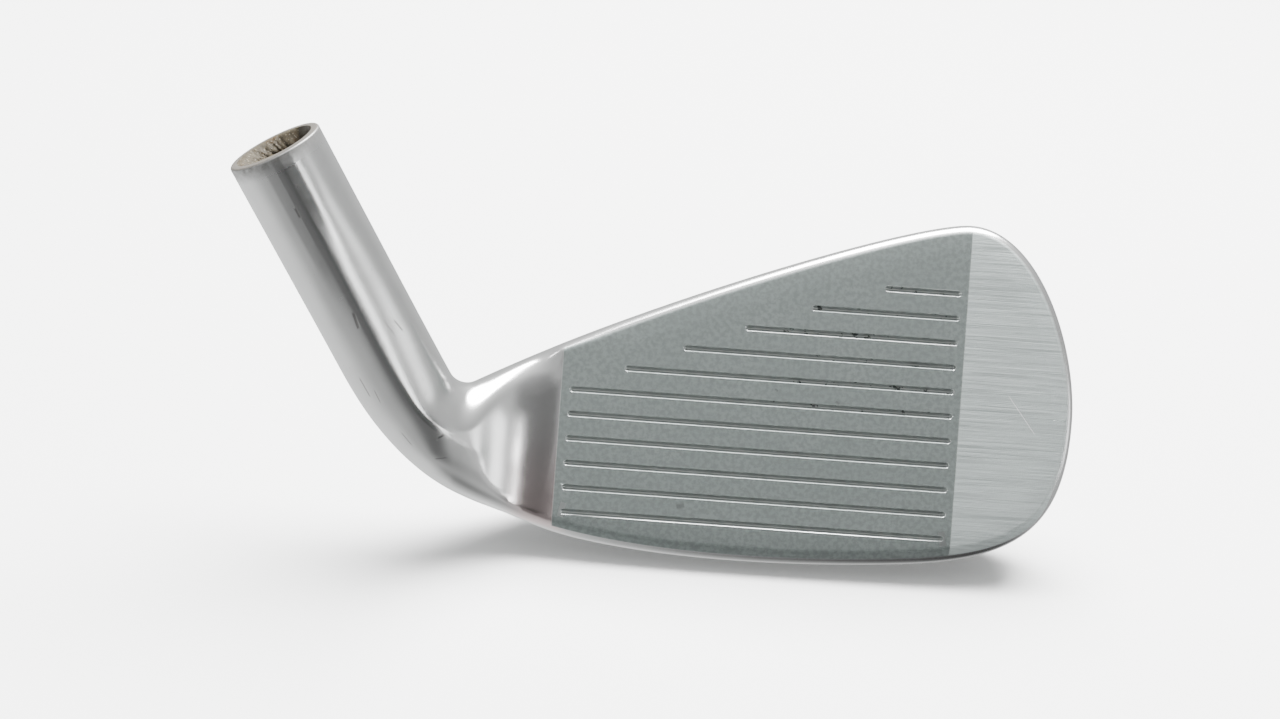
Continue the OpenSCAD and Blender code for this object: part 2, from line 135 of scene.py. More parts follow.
def cubic(start, leaving, end, arriving):
    """A cubic curve from its two ends and the handle at each."""
    return [start, start + leaving, end + arriving, end]


def curve(c, t):
    s = 1 - t
    return c[0] * s**3 + c[1] * 3 * s * s * t + c[2] * 3 * s * t * t + c[3] * t**3


def heading(c, t):
    s = 1 - t
    return unit((c[1] - c[0]) * s * s + (c[2] - c[1]) * 2 * s * t + (c[3] - c[2]) * t * t)


def inward_low(direction):
    return np.array([-direction[1], direction[0]])


def inward_high(direction):
    return np.array([direction[1], -direction[0]])


# ---------- outline of the head on the face plane ----------

AXIS_PLAN = math.hypot(math.cos(LIE), math.sin(LIE) * math.cos(LOFT))
AXIS_UP = np.array([-math.cos(LIE), math.sin(LIE) * math.cos(LOFT)]) / AXIS_PLAN
AXIS_SIDE = np.array([AXIS_UP[1], -AXIS_UP[0]])
AXIS_RISE = math.sin(LIE) * math.sin(LOFT) / AXIS_PLAN
AXIS_FOOT = np.array([-FACE_PROGRESSION / math.tan(LOFT) / math.tan(LIE), FACE_PROGRESSION / math.sin(LOFT)])
AXIS = np.array([AXIS_UP[0], AXIS_UP[1], AXIS_RISE]) * AXIS_PLAN       # the hosel's axis as (u, v, f)
SIDE = np.array([AXIS_SIDE[0], AXIS_SIDE[1], 0.0])
FRONT = np.cross(SIDE, AXIS)                                          # square to both, out of the face
HALF_DEPTH = HOSEL_R * math.hypot(1, AXIS_RISE)


def axis_front(p):
    return float((p - AXIS_FOOT) @ AXIS_UP) * AXIS_RISE


TOE_PEAK = np.array([BLADE_LENGTH - TOE_PEAK_SETBACK, TOE_HEIGHT])
TOE_TIP = np.array([BLADE_LENGTH, TOE_TIP_HEIGHT])
SOLE_TOE_END = np.array([BLADE_LENGTH - 1.42 * TOE_PEAK_SETBACK, 0.046 * TOE_TIP_HEIGHT])
SOLE_HEEL_END = np.array([8.0, 2.7])
SOLE_TOE_DIR = along(math.radians(5.7))
SOLE_HEEL_DIR = along(math.radians(-13.6))

HOSEL_EDGE = AXIS_FOOT + AXIS_SIDE * HOSEL_R
CROTCH = HOSEL_EDGE + AXIS_UP * ((CROTCH_HEIGHT - HOSEL_EDGE[1]) / AXIS_UP[1])
TOPLINE_DIR = along(TOPLINE_SLOPE)
CROTCH_TURN = math.acos(float(AXIS_UP @ TOPLINE_DIR))
CROTCH_SETBACK = CROTCH_FILLET / math.tan(CROTCH_TURN / 2)
TOPLINE_START = CROTCH + TOPLINE_DIR * CROTCH_SETBACK
TOPLINE_SPAN = float(np.linalg.norm(TOE_PEAK - TOPLINE_START))

# Four cubic curves. Each handle is a share of the span that its curve crosses.
X_AXIS = np.array([1.0, 0.0])
Y_AXIS = np.array([0.0, 1.0])
TOPLINE = cubic(TOPLINE_START, TOPLINE_DIR * 0.34 * TOPLINE_SPAN, TOE_PEAK, -X_AXIS * 0.107 * TOPLINE_SPAN)
UPPER_TOE = cubic(TOE_PEAK, X_AXIS * 0.61 * TOE_PEAK_SETBACK,
                  TOE_TIP, Y_AXIS * 0.39 * (TOE_HEIGHT - TOE_TIP_HEIGHT))
LOWER_TOE = cubic(SOLE_TOE_END, SOLE_TOE_DIR * 0.725 * (TOE_TIP[0] - SOLE_TOE_END[0]),
                  TOE_TIP, -Y_AXIS * 0.675 * TOE_TIP_HEIGHT)
SOLE_SPAN = SOLE_TOE_END[0] - SOLE_HEEL_END[0]
SOLE = cubic(SOLE_HEEL_END, SOLE_HEEL_DIR * 0.3 * SOLE_SPAN, SOLE_TOE_END, -SOLE_TOE_DIR * 0.295 * SOLE_SPAN)
NECK_STRAIGHT = 7.0        # straight hosel between the crotch's fillet and the neck
NECK_END = float((CROTCH - AXIS_FOOT) @ AXIS_UP) + CROTCH_FILLET + NECK_STRAIGHT
NECK_HEIGHT = NECK_END + 0.52 * 2 * HOSEL_R
HEEL_START = AXIS_FOOT + AXIS_UP * NECK_END - AXIS_SIDE * HOSEL_R
HEEL = cubic(HEEL_START, -AXIS_UP * 0.9 * NECK_END, SOLE_HEEL_END, -SOLE_HEEL_DIR * 0.75 * 2 * HOSEL_R)
CROTCH_CENTRE = TOPLINE_START + np.array([-TOPLINE_DIR[1], TOPLINE_DIR[0]]) * CROTCH_FILLET
CROTCH_TOP = CROTCH + AXIS_UP * CROTCH_SETBACK
NECK_TOP = HOSEL_EDGE + AXIS_UP * NECK_HEIGHT

NECK_TO = 0.15
CROTCH_FROM = 0.35
CROTCH_TO = 0.64
TOPLINE_SPLIT = 0.17
CROTCH_ANGLE = math.atan2(*(CROTCH_TOP - CROTCH_CENTRE)[::-1])
CROTCH_SWEEP = math.pi - CROTCH_TURN


def lower_edge(x):
    """Point on the lower outline and its direction: 0 to 1 is the heel, to 2 the sole, to 3 the toe."""
    if x < NECK_TO:
        return HEEL_START + AXIS_UP * (NECK_HEIGHT - NECK_END) * (1 - x / NECK_TO), -AXIS_UP
    if x < 1:
        t = (x - NECK_TO) / (1 - NECK_TO)
        return curve(HEEL, t), heading(HEEL, t)
    if x < 2:
        return curve(SOLE, x - 1), heading(SOLE, x - 1)
    return curve(LOWER_TOE, x - 2), heading(LOWER_TOE, x - 2)


def upper_edge(x):
    """The same for the upper outline: the neck, the crotch, the topline and the toe."""
    if x < CROTCH_FROM:
        return mix(NECK_TOP, CROTCH_TOP, x / CROTCH_FROM), -AXIS_UP
    if x < CROTCH_TO:
        angle = CROTCH_ANGLE + CROTCH_SWEEP * (x - CROTCH_FROM) / (CROTCH_TO - CROTCH_FROM)
        return CROTCH_CENTRE + CROTCH_FILLET * along(angle), along(angle + math.pi / 2)
    if x < 2:
        if x < 1:
            t = TOPLINE_SPLIT * (x - CROTCH_TO) / (1 - CROTCH_TO)
        else:
            t = TOPLINE_SPLIT + (1 - TOPLINE_SPLIT) * (x - 1)
        return curve(TOPLINE, t), heading(TOPLINE, t)
    return curve(UPPER_TOE, x - 2), heading(UPPER_TOE, x - 2)


# ---------- cross-sections ----------

ARC_STEPS = 10
SIDE_STEPS = 8
BACK_STEPS = 20
FRONT_STEPS = 36
PROUD = 0.3
CAD_SIDE_POINTS = 14          # places round one rim that the CAD ring has, which set how the neck blends
CAD_BACK_STEPS = 6
CAD_RING_STEP = 2 * math.pi / (2 * CAD_SIDE_POINTS + CAD_BACK_STEPS - 1)

RIM_PLACES = np.concatenate([
    [0.0],
    1 + 4 * np.linspace(0, 1, ARC_STEPS + 1),
    5 + 4 * np.linspace(0, 1, SIDE_STEPS + 1)[1:-1],
    9 + 4 * np.linspace(0, 1, ARC_STEPS + 1)])
BACK_PLACES = 13 + CAD_BACK_STEPS * np.linspace(0, 1, BACK_STEPS + 1)[1:-1]
FRONT_PLACES = 32 + np.linspace(0, 1, FRONT_STEPS + 1)[1:-1]
RING_ANGLES = math.pi / 2 + CAD_RING_STEP * (0.5 + np.concatenate([
    RIM_PLACES, BACK_PLACES, 32 - RIM_PLACES[::-1], FRONT_PLACES]))
RING_POINTS = len(RING_ANGLES)


def rim(front_r, back_r, lean, depth, belly):
    """Rim of the blade as (inset, depth) from front to back, with a front and a back radius."""
    first = math.radians(9)
    centre_run = depth - back_r - front_r * (1 + math.sin(lean)) + back_r * math.sin(lean)
    run = centre_run / math.cos(lean)
    tilt = np.array([math.sin(lean), math.cos(lean)])
    out = np.array([-math.cos(lean), math.sin(lean)])
    start = front_r * np.array([1 - math.cos(lean), 1 + math.sin(lean)])
    centre = start + run * tilt - back_r * out
    lift = (PROUD + front_r * (1 - math.cos(first))) / math.sin(first)
    points = [front_r * np.array([1 - math.sin(first), 1 - math.cos(first)])
              + lift * np.array([math.cos(first), -math.sin(first)])]
    for a in np.linspace(first, math.pi / 2 + lean, ARC_STEPS + 1):
        points.append(front_r * np.array([1 - math.sin(a), 1 - math.cos(a)]))
    for t in np.linspace(0, 1, SIDE_STEPS + 1)[1:-1]:
        points.append(start + run * t * tilt + 4 * belly * t * (1 - t) * out)
    for a in np.linspace(math.pi / 2 + lean, math.pi, ARC_STEPS + 1):
        points.append(centre - back_r * np.array([math.sin(a), math.cos(a)]))
    return np.array(points)


def lower_rim(x):
    toe = ease(x - 2)
    blade = ease((x - 0.55) / 0.75)
    return rim(mix(LEADING_R, TOPLINE_FRONT_R, toe), mix(TRAILING_R, TOPLINE_BACK_R, toe),
               mix(LOFT - BOUNCE, 0, toe), mix(mix(HEEL_W, SOLE_W, blade), TOE_W, toe),
               mix(SOLE_CAMBER, 0.25 * SOLE_CAMBER, toe))


def upper_rim(x):
    return rim(TOPLINE_FRONT_R, TOPLINE_BACK_R, 0.0, mix(TOPLINE_W, TOE_W, ease(x - 2)), 0.25 * SOLE_CAMBER)


def rim_points(edge, inward, profile):
    return np.column_stack([edge + inward * profile[:, :1], -profile[:, 1]])


def blade_ring(x):
    low, low_dir = lower_edge(x)
    high, high_dir = upper_edge(x)
    lower = rim_points(low, inward_low(low_dir), lower_rim(x))
    upper = rim_points(high, inward_high(high_dir), upper_rim(x))[::-1]
    start, end = lower[-1], upper[0]
    hollow = np.array([*mix(start[:2], end[:2], 0.4), mix(start[2], end[2], 0.8)])
    t = np.linspace(0, 1, BACK_STEPS + 1)[1:-1, None]
    back = mix(mix(start, hollow, t), mix(hollow, end, t), t)
    t = np.linspace(0, 1, FRONT_STEPS + 1)[1:-1, None]
    front = mix(upper[-1], lower[0], t)
    return np.concatenate([lower, back, upper, front])


def neck_ring(x):
    low = lower_edge(x)[0]
    high = upper_edge(x)[0]
    middle = (low + high) / 2
    plan = middle + np.cos(RING_ANGLES)[:, None] * (high - low) / 2
    return np.column_stack([plan, axis_front(middle) + HALF_DEPTH * np.sin(RING_ANGLES)])


SCOOP_AT = LINES_START - 1.1
EDGE_SOFTNESS = 0.2
TOP_ROLL = 9.0            # how far below the topline the scoop begins to roll back
TOP_ROLL_DEPTH = 1.4


def mill_face(points):
    """Nothing stands ahead of the milled face or inside the scoop, and the edge between is broken."""
    u, v, f = points.T
    away = np.column_stack([np.minimum(u - SCOOP_AT, 0), np.minimum(f - SCOOP_R, 0)])
    reach = np.maximum(np.linalg.norm(away, axis=1), 1e-6)
    inside = SCOOP_R - reach
    push = np.maximum(inside, 0) + np.clip(EDGE_SOFTNESS - np.abs(inside), 0, None) ** 2 / (4 * EDGE_SOFTNESS)
    points[:, 0] += away[:, 0] / reach * push
    points[:, 2] += away[:, 1] / reach * push
    under_topline = TOPLINE_START[1] + (u - TOPLINE_START[0]) * math.tan(TOPLINE_SLOPE) - v
    near = np.clip(1 - under_topline / TOP_ROLL, 0, 1)
    along_scoop = ease((SCOOP_AT - u) / 4) * ease((u + 7) / 7)
    points[:, 2] -= TOP_ROLL_DEPTH * near**2 * along_scoop * ease(1 + f / 5) * ease((10 - f) / 6)
    return points


def head_ring(x):
    back = ease((x - 0.25) / 0.8)
    front = ease((x - 0.5) / 0.62)
    t = mix(back, front, (1 + np.sin(RING_ANGLES)) / 2)[:, None]
    return mill_face(mix(neck_ring(x), blade_ring(x), t))


# ---------- from the face's frame to the row's ----------

def sole_drop():
    """How far the sole reaches below the height from which the face is measured."""
    rings = [head_ring(x) for x in np.linspace(0.6, 2.9, 70)]
    points = np.concatenate(rings)
    return -float((points[:, 1] * math.cos(LOFT) + points[:, 2] * math.sin(LOFT)).min())


DROP = sole_drop()
ROW_AXIS = np.array([-math.cos(LIE), 0, math.sin(LIE)])
ORIGIN_UP_AXIS = HOSEL_LENGTH - COUNTERSINK_DEPTH
FACE_ORIGIN = -ROW_AXIS * ORIGIN_UP_AXIS + np.array([-DROP / math.tan(LIE), -FACE_PROGRESSION, DROP])
FACE_AXES = np.array([[1, 0, 0],
                      [0, math.sin(LOFT), math.cos(LOFT)],
                      [0, -math.cos(LOFT), math.sin(LOFT)]])
# Distance along the axis from the face's plane to the rim
RIM_AT = HOSEL_LENGTH - (AXIS_FOOT[1] * math.cos(LOFT) + DROP) / math.sin(LIE)
AXIS_BASE = np.array([AXIS_FOOT[0], AXIS_FOOT[1], 0.0])


def face_to_row(points):
    return (np.asarray(points) @ FACE_AXES + FACE_ORIGIN) * MM


def add_object(name, data):
    obj = bpy.data.objects.new(name, data)
    bpy.context.scene.collection.objects.link(obj)
    return obj


def new_piece(name, points, faces, material):
    mesh = bpy.data.meshes.new(name)
    mesh.from_pydata([tuple(p) for p in points], [], faces)
    mesh.validate()
    mesh.materials.append(material)
    return add_object(name, mesh)


def loft_faces(rings, size, capped=False):
    """Faces between rings of points, and over both ends if capped."""
    steps = [(i, (i + 1) % size) for i in range(size)]
    faces = [(j + a, j + b, j + size + b, j + size + a)
             for j in range(0, (rings - 1) * size, size) for a, b in steps]
    if capped:
        faces += [tuple(range(size))[::-1], tuple(range((rings - 1) * size, rings * size))]
    return faces


# ---------- the head ----------

HEEL_RINGS = 120
BLADE_RINGS = 56
TOE_RINGS = 64


def hosel_circle(down, radius, tilt=0.0):
    """A ring on the hosel, at a distance below the rim. Tilt 1 leans it square to the face plane."""
    lean = tilt * radius * AXIS_RISE * np.sin(RING_ANGLES)
    return (AXIS_BASE + AXIS * (RIM_AT - down)
            + radius * np.cos(RING_ANGLES)[:, None] * SIDE
            + radius * np.sin(RING_ANGLES)[:, None] * FRONT
            + lean[:, None] * AXIS)


def hosel_rings():
    """From the bottom of the pilot hole up the bore, over the rim and down the outside of the hosel."""
    cone = (BORE_R - PIN_R) / math.tan(DRILL_HALF_ANGLE)
    rings = [hosel_circle(BORE_DEPTH + cone + PIN_LENGTH, PIN_R * 0.02),
             hosel_circle(BORE_DEPTH + cone + PIN_LENGTH, PIN_R),
             hosel_circle(BORE_DEPTH + cone, PIN_R),
             hosel_circle(BORE_DEPTH, BORE_R)]
    rings += [hosel_circle(down, BORE_R) for down in np.linspace(BORE_DEPTH, COUNTERSINK_DEPTH, 12)[1:]]
    rings += [hosel_circle(COUNTERSINK_DEPTH * (1 - t), BORE_R + COUNTERSINK_W * t) for t in (0.5, 0.93)]
    rings += [hosel_circle(0.02, BORE_R + COUNTERSINK_W + 0.04)]
    rings += [hosel_circle(0, r) for r in np.linspace(BORE_R + COUNTERSINK_W + 0.12, HOSEL_R - RIM_R, 4)]
    for a in np.linspace(0, math.pi / 2, 7)[1:]:
        rings.append(hosel_circle(RIM_R * (1 - math.cos(a)), HOSEL_R - RIM_R * (1 - math.sin(a))))
    neck_down = RIM_AT - NECK_HEIGHT / AXIS_PLAN
    for t in np.linspace(0, 1, 28)[1:-1]:
        rings.append(hosel_circle(mix(RIM_R, neck_down, t), HOSEL_R, ease(t)))
    return rings


POLISH_PASSES = 70


def polish(grid):
    """Hand polishing rolls the scoop softly into the neck and the topline. The sole's crease stays."""
    u, v = grid[:, :, 0], grid[:, :, 1]
    from_front = np.abs((RING_ANGLES - math.pi / 2 + math.pi) % (2 * math.pi) - math.pi)
    facing = ease((math.radians(62) - from_front) / math.radians(25))
    reach = ease((v - 11.5) / 5) * ease((SCOOP_AT - 0.4 - u) / 3) * ease((u + 24) / 8)
    mask = (reach * facing[None, :])[1:-1, :, None]
    for _ in range(POLISH_PASSES):
        middle = grid[1:-1]
        round_it = np.roll(middle, 1, axis=1) + np.roll(middle, -1, axis=1)
        grid[1:-1] = middle + mask * 0.5 * ((grid[2:] + grid[:-2] + round_it) / 4 - middle)
    return grid


def head_rings():
    stations = [i / HEEL_RINGS for i in range(HEEL_RINGS)]
    stations += [1 + i / BLADE_RINGS for i in range(BLADE_RINGS)]
    stations += [2 + math.sin(math.pi / 2 * i / TOE_RINGS) for i in range(TOE_RINGS)]
    return [head_ring(x) for x in stations]


def head_mesh():
    rings = list(polish(np.array(hosel_rings() + head_rings())))
    size = RING_POINTS
    side = len(RIM_PLACES)
    tip = rim_points(TOE_TIP, np.array([-1.0, 0.0]), lower_rim(3))
    tip[:, 2] = np.minimum(tip[:, 2], 0)
    points = np.concatenate(rings + [tip])
    faces = [tuple(range(size))]
    faces += loft_faces(len(rings), size)
    end = (len(rings) - 1) * size
    tip_at = end + size
    upper_at = side + BACK_STEPS - 1
    for i in range(side - 1):
        low = end + i
        high = end + upper_at + side - 1 - i
        faces.append((low, low + 1, tip_at + i + 1, tip_at + i))
        faces.append((high, tip_at + i, tip_at + i + 1, high - 1))
    for i in range(side - 1, upper_at):
        faces.append((end + i, end + i + 1, tip_at + side - 1))
    for i in range(upper_at + side - 1, size):
        faces.append((end + i, end + (i + 1) % size, tip_at))
    return points, faces


def prism(outline, low, high, axis):
    """Closed prism of an outline, from one place to another along u (0) or f (2)."""
    points = [np.insert(p, axis, at) for at in (low, high) for p in outline]
    return points, loft_faces(2, len(outline), capped=True)


# ---------- cuts: score lines and cavity ----------

def find(rises, low, high, steps=40):
    """Where a test turns true between two numbers."""
    for _ in range(steps):
        middle = (low + high) / 2
        if rises(middle):
            high = middle
        else:
            low = middle
    return (low + high) / 2


def on_topline(axis, value):
    """The point where the topline reaches a value of u (axis 0) or of v (axis 1)."""
    return curve(TOPLINE, find(lambda t: curve(TOPLINE, t)[axis] >= value, 0, 1))


GROOVE_LEVELS = [(0.45, 0.62), (0.06, 0.5), (0.0, 0.46), (-0.05, 0.4), (-0.22, 0.33), (-0.38, 0.24),
                 (-0.47, 0.13), (-0.5, 0.03)]
GROOVE_END_STEPS = 10


def groove(v, start, end):
    """Cutter of one score line: a long rounded slot that narrows toward its bottom."""
    heel_u = start + LINE_W / 2
    toe_u = end - LINE_W / 2
    turn = np.linspace(math.pi / 2, 3 * math.pi / 2, GROOVE_END_STEPS + 1)
    spin = np.concatenate([turn, turn + math.pi])
    centre = np.concatenate([np.full(len(turn), heel_u), np.full(len(turn), toe_u)])
    rings = [np.column_stack([centre + half * np.cos(spin), v + half * np.sin(spin), np.full(len(spin), f)])
             for f, half in GROOVE_LEVELS]
    return np.concatenate(rings), loft_faces(len(rings), len(spin), capped=True)


def join(parts):
    points, faces = [], []
    for p, f in parts:
        base = sum(len(q) for q in points)
        points.append(np.asarray(p, dtype=float))
        faces += [tuple(base + i for i in face) for face in f]
    return np.concatenate(points), faces


LINES_END = BLADE_LENGTH - LINES_TOE_GAP
LINE_HEIGHTS = [FIRST_LINE + i * LINE_PITCH for i in range(LINE_COUNT)]
LINE_STARTS = [max(LINES_START, float(on_topline(1, v + LINE_TOP_GAP)[0])) for v in LINE_HEIGHTS]


def groove_cutter():
    return join([groove(v, start, LINES_END) for v, start in zip(LINE_HEIGHTS, LINE_STARTS)])


def rounded(corners, steps=12):
    """Corners of an outline rounded by arcs. Each corner is (point, radius)."""
    points = []
    count = len(corners)
    for i, (p, r) in enumerate(corners):
        if r == 0:
            points.append(p)
            continue
        back = unit(corners[i - 1][0] - p)
        ahead = unit(corners[(i + 1) % count][0] - p)
        half = math.acos(float(back @ ahead)) / 2
        centre = p + unit(back + ahead) * r / math.sin(half)
        start = p + back * r / math.tan(half) - centre
        end = p + ahead * r / math.tan(half) - centre
        sweep = math.pi - 2 * half
        for t in np.linspace(0, 1, steps + 1):
            spread = start * math.sin((1 - t) * sweep) + end * math.sin(t * sweep)
            points.append(centre + spread / math.sin(sweep))
    return points


def inside_upper(x, inset):
    p, d = upper_edge(x)
    return p + inward_high(d) * inset


def inside_lower(x, inset):
    p, d = lower_edge(x)
    return p + inward_low(d) * inset


def toe_side(v, inset):
    def place(x):
        return inside_lower(x, inset) if x < 3 else inside_upper(6 - x, inset)
    return float(place(find(lambda x: place(x)[1] >= v, 2, 4))[0])


def topline_side(v, inset):
    return float(inside_upper(find(lambda x: inside_upper(x, inset)[1] >= v, 1, 2), inset)[0])


def heel_top(u, inset):
    return float(on_topline(0, u)[1]) - inset / math.cos(TOPLINE_SLOPE)


def cavity_outline(low):
    around = [inside_upper(x, CAVITY_RIM) for x in np.linspace(1.2, 2.95, 60)]
    around += [inside_lower(x, CAVITY_RIM) for x in np.linspace(3, 2.2, 50)]
    clear = CAVITY_CORNER_R
    corners = [(np.array([CAVITY_START, low]), CAVITY_CORNER_R),
               (np.array([CAVITY_START, heel_top(CAVITY_START, CAVITY_RIM)]), 0.6 * CAVITY_CORNER_R)]
    corners += [(p, 0) for p in around if p[0] > CAVITY_START + clear and p[1] > low + clear]
    corners.append((np.array([toe_side(low, CAVITY_RIM), low]), 0.8 * CAVITY_CORNER_R))
    return rounded(corners)


def cavity_profile():
    """Across the cavity as (v, f): the floor, the fillet at the foot of the muscle bar and its slope."""
    foot = np.array([MUSCLE_HEIGHT, -FACE_T])
    far = 2 * SOLE_W
    top = TOE_HEIGHT + 5
    corner_reach = math.tan((math.pi / 2 - MUSCLE_LEAN) / 2) * MUSCLE_FILLET
    slope = np.array([-math.sin(MUSCLE_LEAN), -math.cos(MUSCLE_LEAN)])
    centre = foot + np.array([corner_reach, -MUSCLE_FILLET])
    arc = [centre + MUSCLE_FILLET * np.array([math.cos(a), math.sin(a)])
           for a in np.linspace(math.pi / 2, math.pi - MUSCLE_LEAN, 14)]
    end = foot + slope * (far - FACE_T) / math.cos(MUSCLE_LEAN)
    return [np.array([top, -far]), np.array([top, -FACE_T])] + arc + [end]


def outward(obj):
    """Turn every face of a closed mesh outward."""
    work = bmesh.new()
    work.from_mesh(obj.data)
    bmesh.ops.recalc_face_normals(work, faces=work.faces)
    if work.calc_volume(signed=True) < 0:
        bmesh.ops.reverse_faces(work, faces=work.faces)
    work.to_mesh(obj.data)
    work.free()


def boolean(obj, cutter, operation="DIFFERENCE"):
    step = obj.modifiers.new("cut", "BOOLEAN")
    step.operation = operation
    step.solver = "EXACT"
    step.object = cutter
    graph = bpy.context.evaluated_depsgraph_get()
    mesh = bpy.data.meshes.new_from_object(obj.evaluated_get(graph))
    obj.modifiers.clear()
    obj.data = mesh
    bpy.data.objects.remove(cutter)


def solid(name, shape, material):
    points, faces = shape
    obj = new_piece(name, face_to_row(np.asarray(points, dtype=float)), faces, material)
    outward(obj)
    return obj


# ---------- materials ----------

class Nodes:
    """Small helper for building a node tree. Sockets and plain numbers can be mixed freely."""

    def __init__(self, tree):
        self.nodes = tree.nodes
        self.links = tree.links

    def put(self, value, socket):
        if isinstance(value, bpy.types.NodeSocket):
            self.links.new(value, socket)
        else:
            socket.default_value = value

    def add(self, kind, **settings):
        node = self.nodes.new(kind)
        for key, value in settings.items():
            setattr(node, key, value)
        return node

    def math(self, operation, a, b=0.0):
        node = self.add("ShaderNodeMath", operation=operation)
        self.put(a, node.inputs[0])
        self.put(b, node.inputs[1])
        return node.outputs[0]

    def plus(self, a, b):
        return self.math("ADD", a, b)

    def minus(self, a, b):
        return self.math("SUBTRACT", a, b)

    def times(self, a, b):
        return self.math("MULTIPLY", a, b)

    def most(self, *masks):
        total = masks[0]
        for mask in masks[1:]:
            total = self.math("MAXIMUM", total, mask)
        return total

    def vector_math(self, operation, vector, numbers):
        node = self.add("ShaderNodeVectorMath", operation=operation)
        self.put(vector, node.inputs[0])
        node.inputs[1].default_value = tuple(numbers)
        return node

    def dot(self, vector, direction):
        return self.vector_math("DOT_PRODUCT", vector, direction).outputs["Value"]

    def step(self, value, low, high):
        """0 below low, 1 above high, and smooth between. Low may be above high."""
        node = self.add("ShaderNodeMapRange", interpolation_type="SMOOTHSTEP")
        self.put(value, node.inputs["Value"])
        node.inputs["From Min"].default_value = min(low, high)
        node.inputs["From Max"].default_value = max(low, high)
        node.inputs["To Min"].default_value = 0.0 if low < high else 1.0
        node.inputs["To Max"].default_value = 1.0 if low < high else 0.0
        return node.outputs[0]


class Shader(Nodes):
    """The same for one material, with the textures that materials need."""

    def __init__(self, name):
        self.material = bpy.data.materials.new(name)
        self.material.use_nodes = True
        super().__init__(self.material.node_tree)
        self.surface = self.nodes["Principled BSDF"]

    def object_place(self):
        return self.add("ShaderNodeTexCoord").outputs["Object"]

    def object_millimetres(self):
        return self.stretched(self.object_place(), (1 / MM, 1 / MM, 1 / MM))

    def shifted(self, vector, offset):
        return self.vector_math("SUBTRACT", vector, offset).outputs[0]

    def stretched(self, vector, scale):
        return self.vector_math("MULTIPLY", vector, scale).outputs[0]

    def vector(self, x, y, z):
        node = self.add("ShaderNodeCombineXYZ")
        for value, socket in zip((x, y, z), node.inputs):
            self.put(value, socket)
        return node.outputs[0]

    def noise(self, vector, scale, detail=2.0, roughness=0.5):
        node = self.add("ShaderNodeTexNoise")
        self.put(vector, node.inputs["Vector"])
        node.inputs["Scale"].default_value = scale
        node.inputs["Detail"].default_value = detail
        node.inputs["Roughness"].default_value = roughness
        return node.outputs["Fac"]

    def grain(self, vector, scale, detail, roughness):
        """Noise drawn out along an axis."""
        return self.noise(self.stretched(vector, scale), 1.0, detail, roughness)

    def cells(self, vector, scale, feature="F1"):
        node = self.add("ShaderNodeTexVoronoi", feature=feature)
        self.put(vector, node.inputs["Vector"])
        node.inputs["Scale"].default_value = scale
        return node.outputs["Distance"]

    def mixed(self, kind, sockets, factor, a, b):
        node = self.add("ShaderNodeMix", data_type=kind)
        for value, socket in zip((factor, a, b), sockets):
            self.put(value, node.inputs[socket])
        return node

    def blend(self, factor, a, b):
        return self.mixed("FLOAT", (0, 2, 3), factor, a, b).outputs[0]

    def tint(self, factor, a, b):
        return self.mixed("RGBA", (0, 6, 7), factor, a, b).outputs[2]

    def bump(self, height, distance, strength):
        node = self.add("ShaderNodeBump")
        self.put(height, node.inputs["Height"])
        node.inputs["Strength"].default_value = strength
        node.inputs["Distance"].default_value = distance
        return node.outputs[0]

    def finish(self, colour, roughness, normal=None, metallic=1.0):
        self.put(colour, self.surface.inputs["Base Color"])
        self.put(roughness, self.surface.inputs["Roughness"])
        self.surface.inputs["Metallic"].default_value = metallic
        if normal is not None:
            self.links.new(normal, self.surface.inputs["Normal"])
        return self.material


def rgb(r, g, b):
    return (r, g, b, 1.0)


def face_place(shader):
    """The face's own coordinates (u, v, f) in millimetres, and the three as one vector."""
    place = shader.shifted(shader.object_place(), FACE_ORIGIN * MM)
    u, v, f = [shader.dot(place, axis / MM) for axis in FACE_AXES]
    return u, v, f, shader.vector(u, v, f)


def hosel_place(shader):
    """Distance up the hosel's axis, and across and ahead of it, in millimetres."""
    place = shader.object_place()
    return [shader.dot(place, axis / MM) for axis in (ROW_AXIS, SIDE @ FACE_AXES, FRONT @ FACE_AXES)]


ZONE_HEEL = 10.4          # where the blasted face begins
ZONE_TOE = 68.9           # and where it gives way to the satin toe


def line_distance(shader, u, v, direction, place):
    """Distance from a place on the face, measured along one direction."""
    total = shader.plus(shader.times(u, float(direction[0])), shader.times(v, float(direction[1])))
    return shader.math("ABSOLUTE", shader.minus(total, float(np.dot(direction, place))))


def scratches(shader, u, v, marks):
    """1 along thin straight scratches on the face, else 0. A mark is its two ends and its half width."""
    masks = []
    for start, end, width in marks:
        start, end = np.array(start), np.array(end)
        run = unit(end - start)
        across = line_distance(shader, u, v, (-run[1], run[0]), start)
        reach = line_distance(shader, u, v, run, (start + end) / 2)
        half = float(np.linalg.norm(end - start)) / 2
        thin = shader.step(across, width, 0.3 * width)
        masks.append(shader.times(thin, shader.step(reach, half, 0.7 * half)))
    return shader.most(*masks)


TOE_MARKS = [((75.6, 27.5), (80.4, 21.4), 0.11)]
FACE_NICKS = [((50.6, 24.5), (51.2, 24.0), 0.3), ((41.6, 25.6), (42.1, 25.3), 0.25),
              ((28.4, 7.3), (29.7, 7.7), 0.55)]
HEEL_NICKS = [((-6.3, 15.3), (-5.2, 15.9), 0.2), ((-11.5, 15.8), (-9.8, 13.9), 0.1),
              ((-6.6, 12.2), (-4.8, 12.6), 0.08), ((-18.4, 32.2), (-17.5, 29.8), 0.28),
              ((-14.4, 31.4), (-12.7, 29.3), 0.12), ((-13.1, 31.6), (-11.8, 30.1), 0.1),
              ((-17.6, 23.2), (-15.9, 20.4), 0.12), ((-15.4, 21.6), (-14.4, 19.7), 0.09),
              ((-26.4, 45.6), (-25.6, 44.2), 0.22)]
BADGE_MARKS = [((31.0, 26.0), (36.5, 28.6), 0.07), ((52.0, 33.0), (57.5, 30.6), 0.06)]


